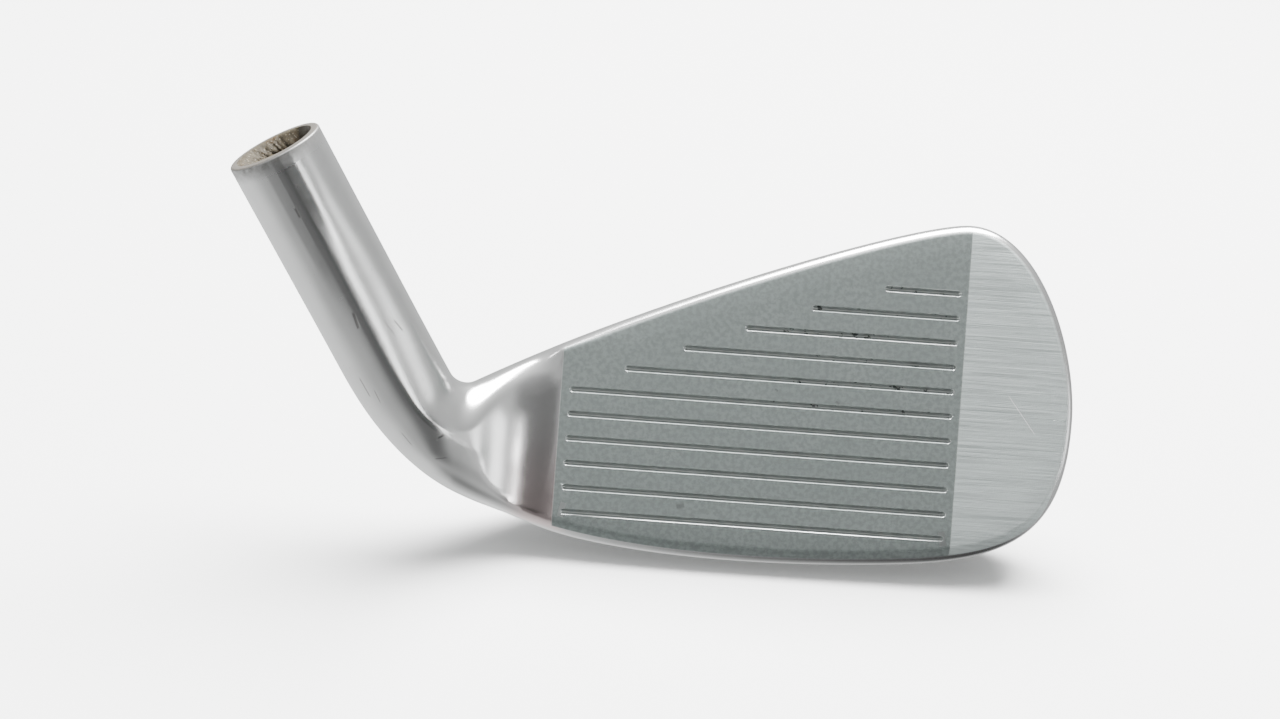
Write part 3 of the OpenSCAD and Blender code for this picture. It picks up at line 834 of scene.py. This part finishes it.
def steel():
    """One skin for the outside of the head: blasted face, satin toe, and polished everything else."""
    s = Shader("forged steel")
    u, v, f, place = face_place(s)

    wander = s.times(s.minus(s.noise(place, 3.0), 0.5), 0.12)
    edge_u = s.plus(u, wander)
    over_edge = s.times(s.step(v, 15.0, 8.0), 0.6)
    on_face = s.step(s.plus(f, over_edge), -0.22, -0.06)
    past_heel = s.step(edge_u, ZONE_HEEL - 0.1, ZONE_HEEL + 0.1)
    past_toe = s.step(edge_u, ZONE_TOE - 0.08, ZONE_TOE + 0.08)
    face_mask = s.times(on_face, past_heel)
    blasted = s.times(face_mask, s.minus(1.0, past_toe))
    satin = s.times(face_mask, past_toe)

    grit = s.noise(place, 7.0, 4.0, 0.65)
    cloud = s.noise(place, 0.09, 3.0, 0.6)
    pits = s.step(s.cells(place, 2.4), 0.16, 0.06)
    mottle = s.noise(place, 1.5, 3.0, 0.6)
    brush = s.blend(0.5, s.grain(place, (0.05, 9.0, 1.0), 3.0, 0.7),
                    s.grain(place, (0.06, 2.1, 1.0), 4.0, 0.65))
    brush = s.step(brush, 0.3, 0.7)
    haze = s.noise(place, 0.22, 4.0, 0.55)

    toe_marks = scratches(s, u, v, TOE_MARKS)
    face_nicks = scratches(s, u, v, FACE_NICKS)
    heel_nicks = scratches(s, u, v, HEEL_NICKS)

    blasted_tint = s.tint(cloud, rgb(0.32, 0.365, 0.355), rgb(0.41, 0.45, 0.44))
    blasted_tint = s.tint(s.step(mottle, 0.62, 0.38), blasted_tint, rgb(0.3, 0.335, 0.325))
    blasted_tint = s.tint(s.times(pits, 0.35), blasted_tint, rgb(0.22, 0.23, 0.225))
    blasted_tint = s.tint(s.times(face_nicks, 0.55), blasted_tint, rgb(0.16, 0.165, 0.16))
    satin_tint = s.tint(brush, rgb(0.56, 0.62, 0.605), rgb(0.83, 0.895, 0.88))
    satin_tint = s.tint(toe_marks, satin_tint, rgb(0.95, 0.95, 0.95))
    up, side, front = hosel_place(s)
    round_it = s.times(s.math("ARCTAN2", side, front), HOSEL_R)
    lines = s.grain(s.vector(up, round_it, 0.0), (0.07, 5.0, 1.0), 4.0, 0.65)
    handling = s.step(s.noise(s.stretched(place, (1.1, 0.8, 1.1)), 0.8, 5.0, 0.75), 0.64, 0.74)
    rim_dirt = s.times(s.step(up, -1.0, 1.2), s.noise(place, 1.1, 5.0, 0.7))
    rim_dirt = s.most(rim_dirt, s.step(up, COUNTERSINK_DEPTH - 0.3, COUNTERSINK_DEPTH - 0.08))
    polished_tint = s.tint(haze, rgb(0.6, 0.6, 0.595), rgb(0.7, 0.7, 0.695))
    # Painted sheen: the polished steel in the scoop is painted much brighter than elsewhere, and pinker low
    # down toward the face.
    scoop_sheen_mask = s.times(s.step(u, -4.0, 2.0), s.step(up, -42.0, -52.0))
    scoop_sheen_mask = s.times(scoop_sheen_mask, s.times(s.step(u, 13.0, 10.5), s.step(f, -2.0, -0.6)))
    warm = s.times(s.step(v, 22.0, 4.0), s.step(u, 2.0, 7.0))
    scoop_sheen_tint = s.tint(warm, rgb(0.93, 0.925, 0.92), rgb(0.86, 0.73, 0.72))
    polished_tint = s.tint(scoop_sheen_mask, polished_tint, scoop_sheen_tint)
    residue = s.tint(s.noise(place, 2.2, 4.0, 0.7), rgb(0.014, 0.01, 0.006), rgb(0.07, 0.058, 0.04))
    for mark, share, stain in ((handling, 0.2, rgb(0.34, 0.33, 0.32)), (rim_dirt, 0.9, residue),
                               (heel_nicks, 0.6, rgb(0.25, 0.24, 0.23))):
        polished_tint = s.tint(s.times(mark, share), polished_tint, stain)
    colour = s.tint(blasted, polished_tint, blasted_tint)
    colour = s.tint(satin, colour, satin_tint)

    hosel_part = s.step(up, -45.0, -25.0)
    rough = s.blend(s.noise(place, 1.3, 4.0, 0.7), 0.18, 0.24)
    rough = s.plus(rough, s.times(lines, s.blend(hosel_part, 0.03, 0.08)))
    rough = s.plus(rough, s.times(handling, 0.08))
    rough = s.plus(rough, s.times(rim_dirt, 0.4))
    rough = s.blend(blasted, rough, s.blend(grit, 0.44, 0.58))
    rough = s.blend(satin, rough, s.blend(brush, 0.46, 0.6))

    fine = s.grain(s.vector(up, round_it, 0.0), (0.3, 16.0, 1.0), 2.0, 0.5)
    height = s.blend(blasted, s.times(fine, 0.14), grit)
    height = s.blend(satin, height, brush)
    height = s.minus(height, s.times(s.most(face_nicks, heel_nicks, toe_marks), 0.8))
    s.finish(colour, rough, s.bump(height, 0.00003, 0.55))
    s.put(s.minus(1.0, s.step(rim_dirt, 0.75, 1.0)), s.surface.inputs["Metallic"])
    s.surface.inputs["Specular IOR Level"].default_value = 0.05
    return s.material


def groove_steel():
    s = Shader("score lines")
    u, v, f, place = face_place(s)
    drag = s.grain(place, (0.4, 14.0, 6.0), 3.0, 0.6)
    # Painted shade: the groove floor below 0.2 mm deep is painted darker in noisy patches. The dark specks in
    # the upper lines toward the toe are marks.
    groove_shade_and_specks = s.times(s.step(f, -0.2, -0.48), s.blend(s.noise(place, 0.5, 3.0, 0.5), 0.1, 0.5))
    specks = s.times(s.step(s.noise(place, 0.8, 3.0, 0.6), 0.6, 0.66), s.step(u, 36.0, 44.0))
    groove_shade_and_specks = s.most(groove_shade_and_specks, s.times(specks, s.step(v, 20.0, 24.0)))
    colour = s.tint(drag, rgb(0.47, 0.5, 0.49), rgb(0.62, 0.645, 0.635))
    colour = s.tint(groove_shade_and_specks, colour, rgb(0.14, 0.15, 0.145))
    return s.finish(colour, s.blend(drag, 0.3, 0.44))


def cavity_steel():
    s = Shader("blasted cavity")
    place = face_place(s)[3]
    grit = s.noise(place, 6.0, 4.0, 0.65)
    cloud = s.noise(place, 0.12, 3.0, 0.6)
    colour = s.tint(cloud, rgb(0.36, 0.37, 0.365), rgb(0.5, 0.51, 0.505))
    return s.finish(colour, s.blend(grit, 0.42, 0.6), s.bump(grit, 0.00004, 0.6))


def bore_steel():
    """Drilled bore with what the last shaft's glue left behind."""
    s = Shader("drilled bore")
    place = s.vector(*hosel_place(s))
    rings = s.grain(place, (5.0, 0.1, 0.1), 2.0, 0.6)
    stain = s.step(s.noise(place, 0.45, 5.0, 0.65), 0.38, 0.62)
    colour = s.tint(rings, rgb(0.05, 0.046, 0.04), rgb(0.12, 0.11, 0.09))
    colour = s.tint(stain, colour, rgb(0.05, 0.036, 0.02))
    return s.finish(colour, s.blend(stain, 0.4, 0.8), s.bump(rings, 0.00004, 0.6))


def tungsten():
    s = Shader("sintered tungsten")
    place = s.object_millimetres()
    grain = s.noise(place, 5.0, 4.0, 0.7)
    turned = s.grain(place, (6.0, 0.4, 0.4), 2.0, 0.5)
    colour = s.tint(grain, rgb(0.2, 0.2, 0.205), rgb(0.38, 0.38, 0.39))
    return s.finish(colour, s.blend(turned, 0.34, 0.56), s.bump(grain, 0.00003, 0.5))


def brass():
    s = Shader("dull turned brass")
    place = s.vector(*hosel_place(s))
    turned = s.grain(place, (9.0, 0.3, 0.3), 2.0, 0.5)
    tarnish = s.noise(place, 0.7, 5.0, 0.65)
    colour = s.tint(tarnish, rgb(0.5, 0.34, 0.13), rgb(0.78, 0.6, 0.32))
    return s.finish(colour, s.blend(turned, 0.3, 0.5), s.bump(turned, 0.00003, 0.5))


def epoxy(name, dark, light):
    """Old glue: cloudy, granular and chipped."""
    s = Shader(name)
    place = s.object_millimetres()
    lumps = s.noise(place, 1.1, 6.0, 0.7)
    specks = s.step(s.cells(place, 2.2), 0.3, 0.1)
    stain = s.step(s.noise(place, 0.5, 4.0, 0.6), 0.5, 0.68)
    colour = s.tint(lumps, dark, light)
    colour = s.tint(s.times(stain, 0.7), colour, rgb(0.05, 0.03, 0.014))
    colour = s.tint(s.times(specks, 0.4), colour, rgb(0.32, 0.29, 0.23))
    s.surface.inputs["Specular IOR Level"].default_value = 0.1
    s.surface.inputs["Subsurface Weight"].default_value = 0.15
    s.surface.inputs["Subsurface Radius"].default_value = (0.0008, 0.0006, 0.0003)
    return s.finish(colour, s.blend(lumps, 0.42, 0.8), s.bump(lumps, 0.0002, 0.6), metallic=0.0)


def elastomer():
    s = Shader("matt elastomer")
    place = face_place(s)[3]
    pebble = s.cells(place, 1.6, "SMOOTH_F1")
    dust = s.noise(place, 0.4, 6.0, 0.7)
    colour = s.tint(dust, rgb(0.018, 0.018, 0.02), rgb(0.05, 0.049, 0.047))
    return s.finish(colour, s.blend(dust, 0.55, 0.78), s.bump(pebble, 0.00008, 0.7), metallic=0.0)


def foam_tape():
    s = Shader("foam tape")
    place = face_place(s)[3]
    foam = s.cells(place, 3.5)
    shade = s.noise(place, 0.5, 4.0, 0.6)
    colour = s.tint(shade, rgb(0.66, 0.645, 0.6), rgb(0.82, 0.81, 0.77))
    return s.finish(colour, s.blend(shade, 0.7, 0.9), s.bump(foam, 0.00005, 0.6), metallic=0.0)


def badge_metal():
    """Long brushing along the face, a few handling scratches, and duller in soft patches."""
    s = Shader("brushed badge")
    u, v, _, place = face_place(s)
    brush = s.grain(place, (0.04, 8.0, 1.0), 4.0, 0.7)
    rub = s.noise(place, 0.25, 4.0, 0.6)
    marks = scratches(s, u, v, BADGE_MARKS)
    colour = s.tint(brush, rgb(0.6, 0.61, 0.62), rgb(0.8, 0.81, 0.82))
    colour = s.tint(s.times(rub, 0.35), colour, rgb(0.46, 0.47, 0.48))
    colour = s.tint(marks, colour, rgb(0.92, 0.92, 0.92))
    return s.finish(colour, s.blend(brush, 0.24, 0.42), s.bump(brush, 0.00002, 0.45))


def paper_floor():
    s = Shader("pale floor")
    place = s.object_millimetres()
    tooth = s.noise(place, 0.9, 4.0, 0.6)
    cloud = s.noise(place, 0.004, 2.0, 0.5)
    colour = s.tint(cloud, rgb(0.92, 0.92, 0.915), rgb(0.95, 0.95, 0.945))
    return s.finish(colour, 0.85, s.bump(tooth, 0.00004, 0.15), metallic=0.0)


# ---------- build the head ----------

NEAR = 0.05                # how close a face must be to a cut's edge to count as part of the cut
HEAD_SHARP = 32            # degrees past which an edge stays crisp
LAYER_SHARP = 40
CRUST_SHARP = 60


def polygon_places(obj):
    """Centre of every face as (u, v, f) and its normal in the same frame."""
    count = len(obj.data.polygons)
    centres = np.empty(count * 3)
    normals = np.empty(count * 3)
    obj.data.polygons.foreach_get("center", centres)
    obj.data.polygons.foreach_get("normal", normals)
    centres = (centres.reshape(-1, 3) / MM - FACE_ORIGIN) @ FACE_AXES.T
    return centres, normals.reshape(-1, 3) @ FACE_AXES.T


def build_head():
    skin = steel()
    head = solid("head", head_mesh(), skin)
    boolean(head, solid("line_cutter", groove_cutter(), skin))
    pocket = solid("pocket", prism(cavity_outline(CAVITY_LOW), -2 * SOLE_W, 0.0, 2), skin)
    boolean(pocket, solid("profile", prism(cavity_profile(), 0.0, BLADE_LENGTH, 0), skin), "INTERSECT")
    boolean(head, pocket)

    mesh = head.data
    mesh.materials.clear()
    for material in (skin, groove_steel(), cavity_steel(), bore_steel()):
        mesh.materials.append(material)
    centres, normals = polygon_places(head)
    u, v, f = centres.T
    from_axis = centres - AXIS_BASE
    up = from_axis @ AXIS
    away = np.linalg.norm(from_axis - up[:, None] * AXIS, axis=1)
    slots = np.zeros(len(centres), dtype=np.int32)
    in_line = np.zeros(len(centres), dtype=bool)
    for height, start in zip(LINE_HEIGHTS, LINE_STARTS):
        in_line |= (np.abs(v - height) < LINE_W / 2) & (u > start - NEAR) & (u < LINES_END + NEAR)
    in_line &= (f < -0.004) & (f > -1.5 * LINE_DEPTH)
    slots[in_line] = 1
    slots[pocket_walls(centres, normals) & (f < -FACE_T + NEAR)] = 2
    outward_part = np.einsum("ij,ij->i", normals, from_axis - up[:, None] * AXIS)
    slots[(away < BORE_R + COUNTERSINK_W + NEAR) & (up > RIM_AT - BORE_DEPTH - 14) & (up < RIM_AT - 0.01)
          & (outward_part < 0.1)] = 3
    mesh.polygons.foreach_set("material_index", slots)
    finish_surface(head, HEAD_SHARP)
    return head


def pocket_walls(centres, normals):
    """True for faces on the cavity's floor and walls, and false for the blade's own skin round it."""
    u, v, f = centres.T
    floor = (np.abs(f + FACE_T) < 0.02) & (normals[:, 2] < -0.99)
    outline = np.array(cavity_outline(CAVITY_LOW))
    ahead = np.roll(outline, -1, axis=0)
    nearest = np.full(len(u), 1e9)
    for a, b in zip(outline, ahead):
        run = b - a
        length = float(run @ run)
        if length < 1e-12:
            continue
        t = np.clip(((u - a[0]) * run[0] + (v - a[1]) * run[1]) / length, 0, 1)
        nearest = np.minimum(nearest, np.hypot(u - a[0] - t * run[0], v - a[1] - t * run[1]))
    walls = (nearest < 0.06) & (np.abs(normals[:, 2]) < 0.3)
    within = (u > CAVITY_START - 0.1) & (f < -FACE_T + 0.01)
    slope = (v - MUSCLE_HEIGHT) * math.cos(MUSCLE_LEAN) - (f + FACE_T) * math.sin(MUSCLE_LEAN)
    bar = within & (np.abs(slope) < 0.05)
    centre_v = MUSCLE_HEIGHT + MUSCLE_FILLET * math.tan((math.pi / 2 - MUSCLE_LEAN) / 2)
    centre_f = -FACE_T - MUSCLE_FILLET
    off_fillet = np.abs(np.hypot(v - centre_v, f - centre_f) - MUSCLE_FILLET)
    fillet = within & (off_fillet < 0.06) & (v < centre_v + 0.1) & (f > centre_f - 0.1)
    return floor | walls | bar | fillet


def finish_surface(obj, sharp_degrees):
    """Smooth shading that stays crisp over sharp edges."""
    work = bmesh.new()
    work.from_mesh(obj.data)
    bmesh.ops.remove_doubles(work, verts=work.verts, dist=1e-6)
    limit = math.radians(sharp_degrees)
    for face in work.faces:
        face.smooth = True
    for edge in work.edges:
        edge.smooth = len(edge.link_faces) == 2 and edge.calc_face_angle(0.0) < limit
    work.to_mesh(obj.data)
    work.free()
    step = obj.modifiers.new("even_shading", "WEIGHTED_NORMAL")
    step.keep_sharp = True
    step.weight = 80


# ---------- badge, pad and tapes in the cavity ----------

PAD_GAP = 1.0
PAD_HEEL_GAP = 6.0
PAD_HEIGHT = 13.5
PAD_CORNER_R = 2.5
BADGE_INSET = 0.7
TAPE_T = 0.2
PAD_T = 1.2
BADGE_T = 0.8
PAD_FOOT = MUSCLE_HEIGHT + MUSCLE_FILLET + PAD_GAP


def layer_outline(inset):
    gap = CAVITY_RIM + PAD_GAP + inset
    low = PAD_FOOT + inset
    high = PAD_FOOT + PAD_HEIGHT - inset
    heel = CAVITY_START + PAD_HEEL_GAP + inset
    r = max(PAD_CORNER_R - inset, 0.4)
    corners = [(heel, low), (heel, heel_top(heel, gap)), (topline_side(high, gap), high),
               (toe_side(high, gap), high), (toe_side(low, gap), low)]
    return np.array(rounded([(np.array(p), r) for p in corners], 10))


def layer(name, material, inset, levels):
    """A flat layer on the cavity's floor. Levels give (depth, extra inset) from front to back."""
    rings = []
    for depth, extra in levels:
        outline = layer_outline(inset + extra)
        rings.append(np.column_stack([outline, np.full(len(outline), -depth)]))
    piece = solid(name, (np.concatenate(rings), loft_faces(len(rings), len(rings[0]), capped=True)), material)
    finish_surface(piece, LAYER_SHARP)
    return piece


def build_stack():
    tape = foam_tape()
    pad_at = FACE_T + TAPE_T
    tape_at = pad_at + PAD_T
    badge_at = tape_at + TAPE_T
    back = badge_at + BADGE_T
    pad_tape = layer("pad_tape_foam", tape, 0.0, [(FACE_T, 0.05), (pad_at, 0.05)])
    pad = layer("damping_pad_rubber", elastomer(), 0.0,
                [(pad_at, 0.12), (pad_at + 0.12, 0.0), (tape_at - 0.3, 0.0), (tape_at - 0.09, 0.09),
                 (tape_at, 0.3)])
    badge_tape = layer("badge_tape_foam", tape, BADGE_INSET, [(tape_at, 0.1), (badge_at, 0.1)])
    badge = layer("cavity_badge_plate", badge_metal(), BADGE_INSET,
                  [(badge_at, 0.0), (back - 0.32, 0.0), (back - 0.05, 0.3), (back, 0.42), (back, 1.3),
                   (back - 0.16, 1.45), (back - 0.16, 1.9), (back, 2.05), (back, 2.6)])
    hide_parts("pad_tape")
    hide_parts("damping_pad")
    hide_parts("badge_tape")
    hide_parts("cavity_badge")
    return {"tape": [pad_tape, badge_tape], "elastomer": [pad], "badge": [badge]}


# ---------- glue left at the hosel's mouth ----------

CRUST_START = math.radians(60)
CRUST_SWEEP = math.radians(235)
CRUST_RINGS = 220
CRUST_STEPS = 16
CRUST_TOP = 0.02          # where the crust begins and how far it reaches down, in countersink depths
CRUST_REACH = 2.6
CRUST_BED = 0.06          # how far its back is let into the wall
CRUST_LEAST = 0.03


def mouth_wall(down):
    """Radius of the countersink, or of the bore below it, at a distance below the rim."""
    return BORE_R + COUNTERSINK_W * max(0.0, 1 - down / COUNTERSINK_DEPTH)


def wobble(a, b, seed):
    """Smooth uneven height from a few sines, between about -1 and 1."""
    total = 0.0
    weight = 0.0
    for k in range(1, 7):
        amount = 0.75 ** k
        total += amount * math.sin(k * 2.3 * a + seed * 1.7 + k * k) * math.cos(k * 1.9 * b + seed + 2.1 * k)
        weight += amount
    return 2.2 * total / weight


def build_crust():
    """Chipped ring of cured epoxy in the countersink, thickest halfway round, that runs down the bore."""
    points = []
    for i in range(CRUST_RINGS):
        s = i / (CRUST_RINGS - 1)
        angle = CRUST_START + CRUST_SWEEP * s
        ends = ease(min(s, 1 - s) / 0.07)
        heel_side = 0.45 + 0.55 * math.sin(math.pi * s)
        for t in np.linspace(0, 1, CRUST_STEPS + 1):
            down = COUNTERSINK_DEPTH * (CRUST_TOP + CRUST_REACH * t) + 0.5 * wobble(angle * 2, t, 3) * t
            swell = (0.2 + 1.15 * heel_side * math.sin(math.pi * min(1, 0.1 + 0.9 * t))) * ends
            lump = swell * (1 + 0.16 * wobble(angle * 3.1, t * 2.3, 1)
                            + 0.13 * wobble(angle * 8.3, t * 5.9, 5)
                            + 0.1 * wobble(angle * 19.7, t * 13.1, 9))
            points.append((angle, mouth_wall(down) - max(lump, CRUST_LEAST), down))
        for t in (1.0, 0.5, 0.0):
            down = COUNTERSINK_DEPTH * (CRUST_TOP + CRUST_REACH * t)
            points.append((angle, mouth_wall(down) + CRUST_BED, down))
    side = np.array([math.sin(LIE), 0, math.cos(LIE)])
    ahead = np.cross(ROW_AXIS, side)
    placed = [side * r * math.cos(a) + ahead * r * math.sin(a) + ROW_AXIS * (COUNTERSINK_DEPTH - down)
              for a, r, down in points]
    faces = loft_faces(CRUST_RINGS, CRUST_STEPS + 4, capped=True)
    crust = new_piece("epoxy_crumble", np.array(placed) * MM, faces,
                      epoxy("crusted epoxy", rgb(0.012, 0.009, 0.005), rgb(0.12, 0.103, 0.074)))
    outward(crust)
    finish_surface(crust, CRUST_SHARP)
    return crust


head = build_head()
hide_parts("head_body")
layers = build_stack()
crust = build_crust()
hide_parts("epoxy_crust")

slots = {"forged_steel": [head], "old_epoxy": [crust], **layers}
for slot_name, pieces in slots.items():
    for piece in pieces:
        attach(piece, "root")

kept = {"toe_weight": tungsten(), "heel_weight": tungsten(), "swing_weight_pin": brass(),
        "epoxy_plug": epoxy("cured epoxy", rgb(0.34, 0.27, 0.17), rgb(0.6, 0.53, 0.38))}
for node, material in kept.items():
    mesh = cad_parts[node].data
    mesh.materials.clear()
    mesh.materials.append(material)

# ---------- floor, light and camera ----------

floor_z = cad_box[0][2]
FLOOR_HALF = 3.0
floor_steps = 40
grid = np.linspace(-1, 1, floor_steps)
floor_points = [(x * abs(x) * FLOOR_HALF, y * abs(y) * FLOOR_HALF, floor_z) for y in grid for x in grid]
floor_rows = range(0, floor_steps * (floor_steps - 1), floor_steps)
floor_faces = [(j + i, j + i + 1, j + floor_steps + i + 1, j + floor_steps + i)
               for j in floor_rows for i in range(floor_steps - 1)]
floor = new_piece("floor", floor_points, floor_faces, paper_floor())
floor.visible_glossy = False      # the steel mirrors the room's own pale and dark patches instead

CAMERA_DISTANCE = 300.0
CAMERA_AT = np.array([21.6, 28.5, 0.0])
CAMERA_ROLL = math.radians(4.17)
LENS = 57.6


def look(location, target, roll=0.0):
    """A matrix that looks from one point to another, turned round its own line of sight."""
    back = (Vector(location) - Vector(target)).normalized()
    right = Vector((0, 0, 1)).cross(back).normalized()
    up = back.cross(right)
    turned = right * math.cos(roll) + up * math.sin(roll)
    up = back.cross(turned)
    return Matrix((( turned.x, up.x, back.x, location[0]),
                   (turned.y, up.y, back.y, location[1]),
                   (turned.z, up.z, back.z, location[2]),
                   (0, 0, 0, 1)))


target = face_to_row(CAMERA_AT)
eye = face_to_row(CAMERA_AT + np.array([0, 0, CAMERA_DISTANCE]))
camera_data = bpy.data.cameras.new("camera")
camera_data.lens = LENS
camera_data.sensor_width = 36
camera_data.clip_start = 0.01
camera_data.clip_end = 30
camera = add_object("camera", camera_data)
camera.matrix_world = look(tuple(eye), tuple(target), CAMERA_ROLL)
bpy.context.scene.camera = camera


softbox = bpy.data.lights.new("light_above", "AREA")
softbox.shape = "RECTANGLE"
softbox.size, softbox.size_y = 0.8, 0.7
softbox.energy = 64.0
add_object("light_above", softbox).matrix_world = look((0.15, 0.3, 0.8), tuple(target))

ROOM_LIGHT = 0.68
DARKEST = 0.05
# Soft patches of the room that the steel mirrors: direction, degrees to where it is full and to where it
# ends, and change of brightness
ROOM_PATCHES = [((0.0, 0.2, 1.0), 20, 75, 0.55),          # ceiling
                ((-0.6, 0.25, -0.75), 15, 60, 0.8),       # sheet below the heel
                ((0.17, -0.94, -0.292), 9, 34, -0.5),     # dark gap under the camera
                ((0.42, -0.82, 0.38), 21, 34, -0.54),     # dark wall beside it
                ((0.974, -0.205, 0.06), 5, 13, 2.7),      # window on the toe side
                ((0.25, -0.05, -0.97), 12, 36, -0.6),     # shade under the sole
                ((0.0, 1.0, 0.1), 20, 60, 0.2)]           # wall behind


# A long narrow lamp, which makes the streak down the hosel
LAMP_MIDDLE = (0.7617, -0.6384, 0.1107)
LAMP_ACROSS = (0.5637, 0.7372, 0.3725)      # square to its length and to its middle
LAMP_WIDTH = (0.8, 2.8)                     # degrees either side to where it is full and to where it ends
LAMP_LENGTH = (3.5, 6.5)
LAMP_LIGHT = 19.0


def studio_room():
    """Light from the room round the object."""
    world = bpy.data.worlds.new("studio")
    world.use_nodes = True
    room = Nodes(world.node_tree)
    direction = room.add("ShaderNodeTexCoord").outputs["Generated"]

    def near(toward, inner, outer):
        facing = room.dot(direction, Vector(toward).normalized())
        return room.step(facing, math.cos(math.radians(outer)), math.cos(math.radians(inner)))

    light = ROOM_LIGHT
    for toward, inner, outer, change in ROOM_PATCHES:
        light = room.plus(light, room.times(near(toward, inner, outer), change))
    off_line = room.math("ABSOLUTE", room.dot(direction, Vector(LAMP_ACROSS).normalized()))
    full, end = [math.sin(math.radians(angle)) for angle in LAMP_WIDTH]
    lamp = room.times(room.step(off_line, end, full), near(LAMP_MIDDLE, *LAMP_LENGTH))
    light = room.plus(light, room.times(lamp, LAMP_LIGHT))
    background = room.nodes["Background"]
    room.put(room.most(light, DARKEST), background.inputs["Strength"])
    background.inputs["Color"].default_value = (0.985, 1.0, 1.0, 1)
    return world


bpy.context.scene.world = studio_room()
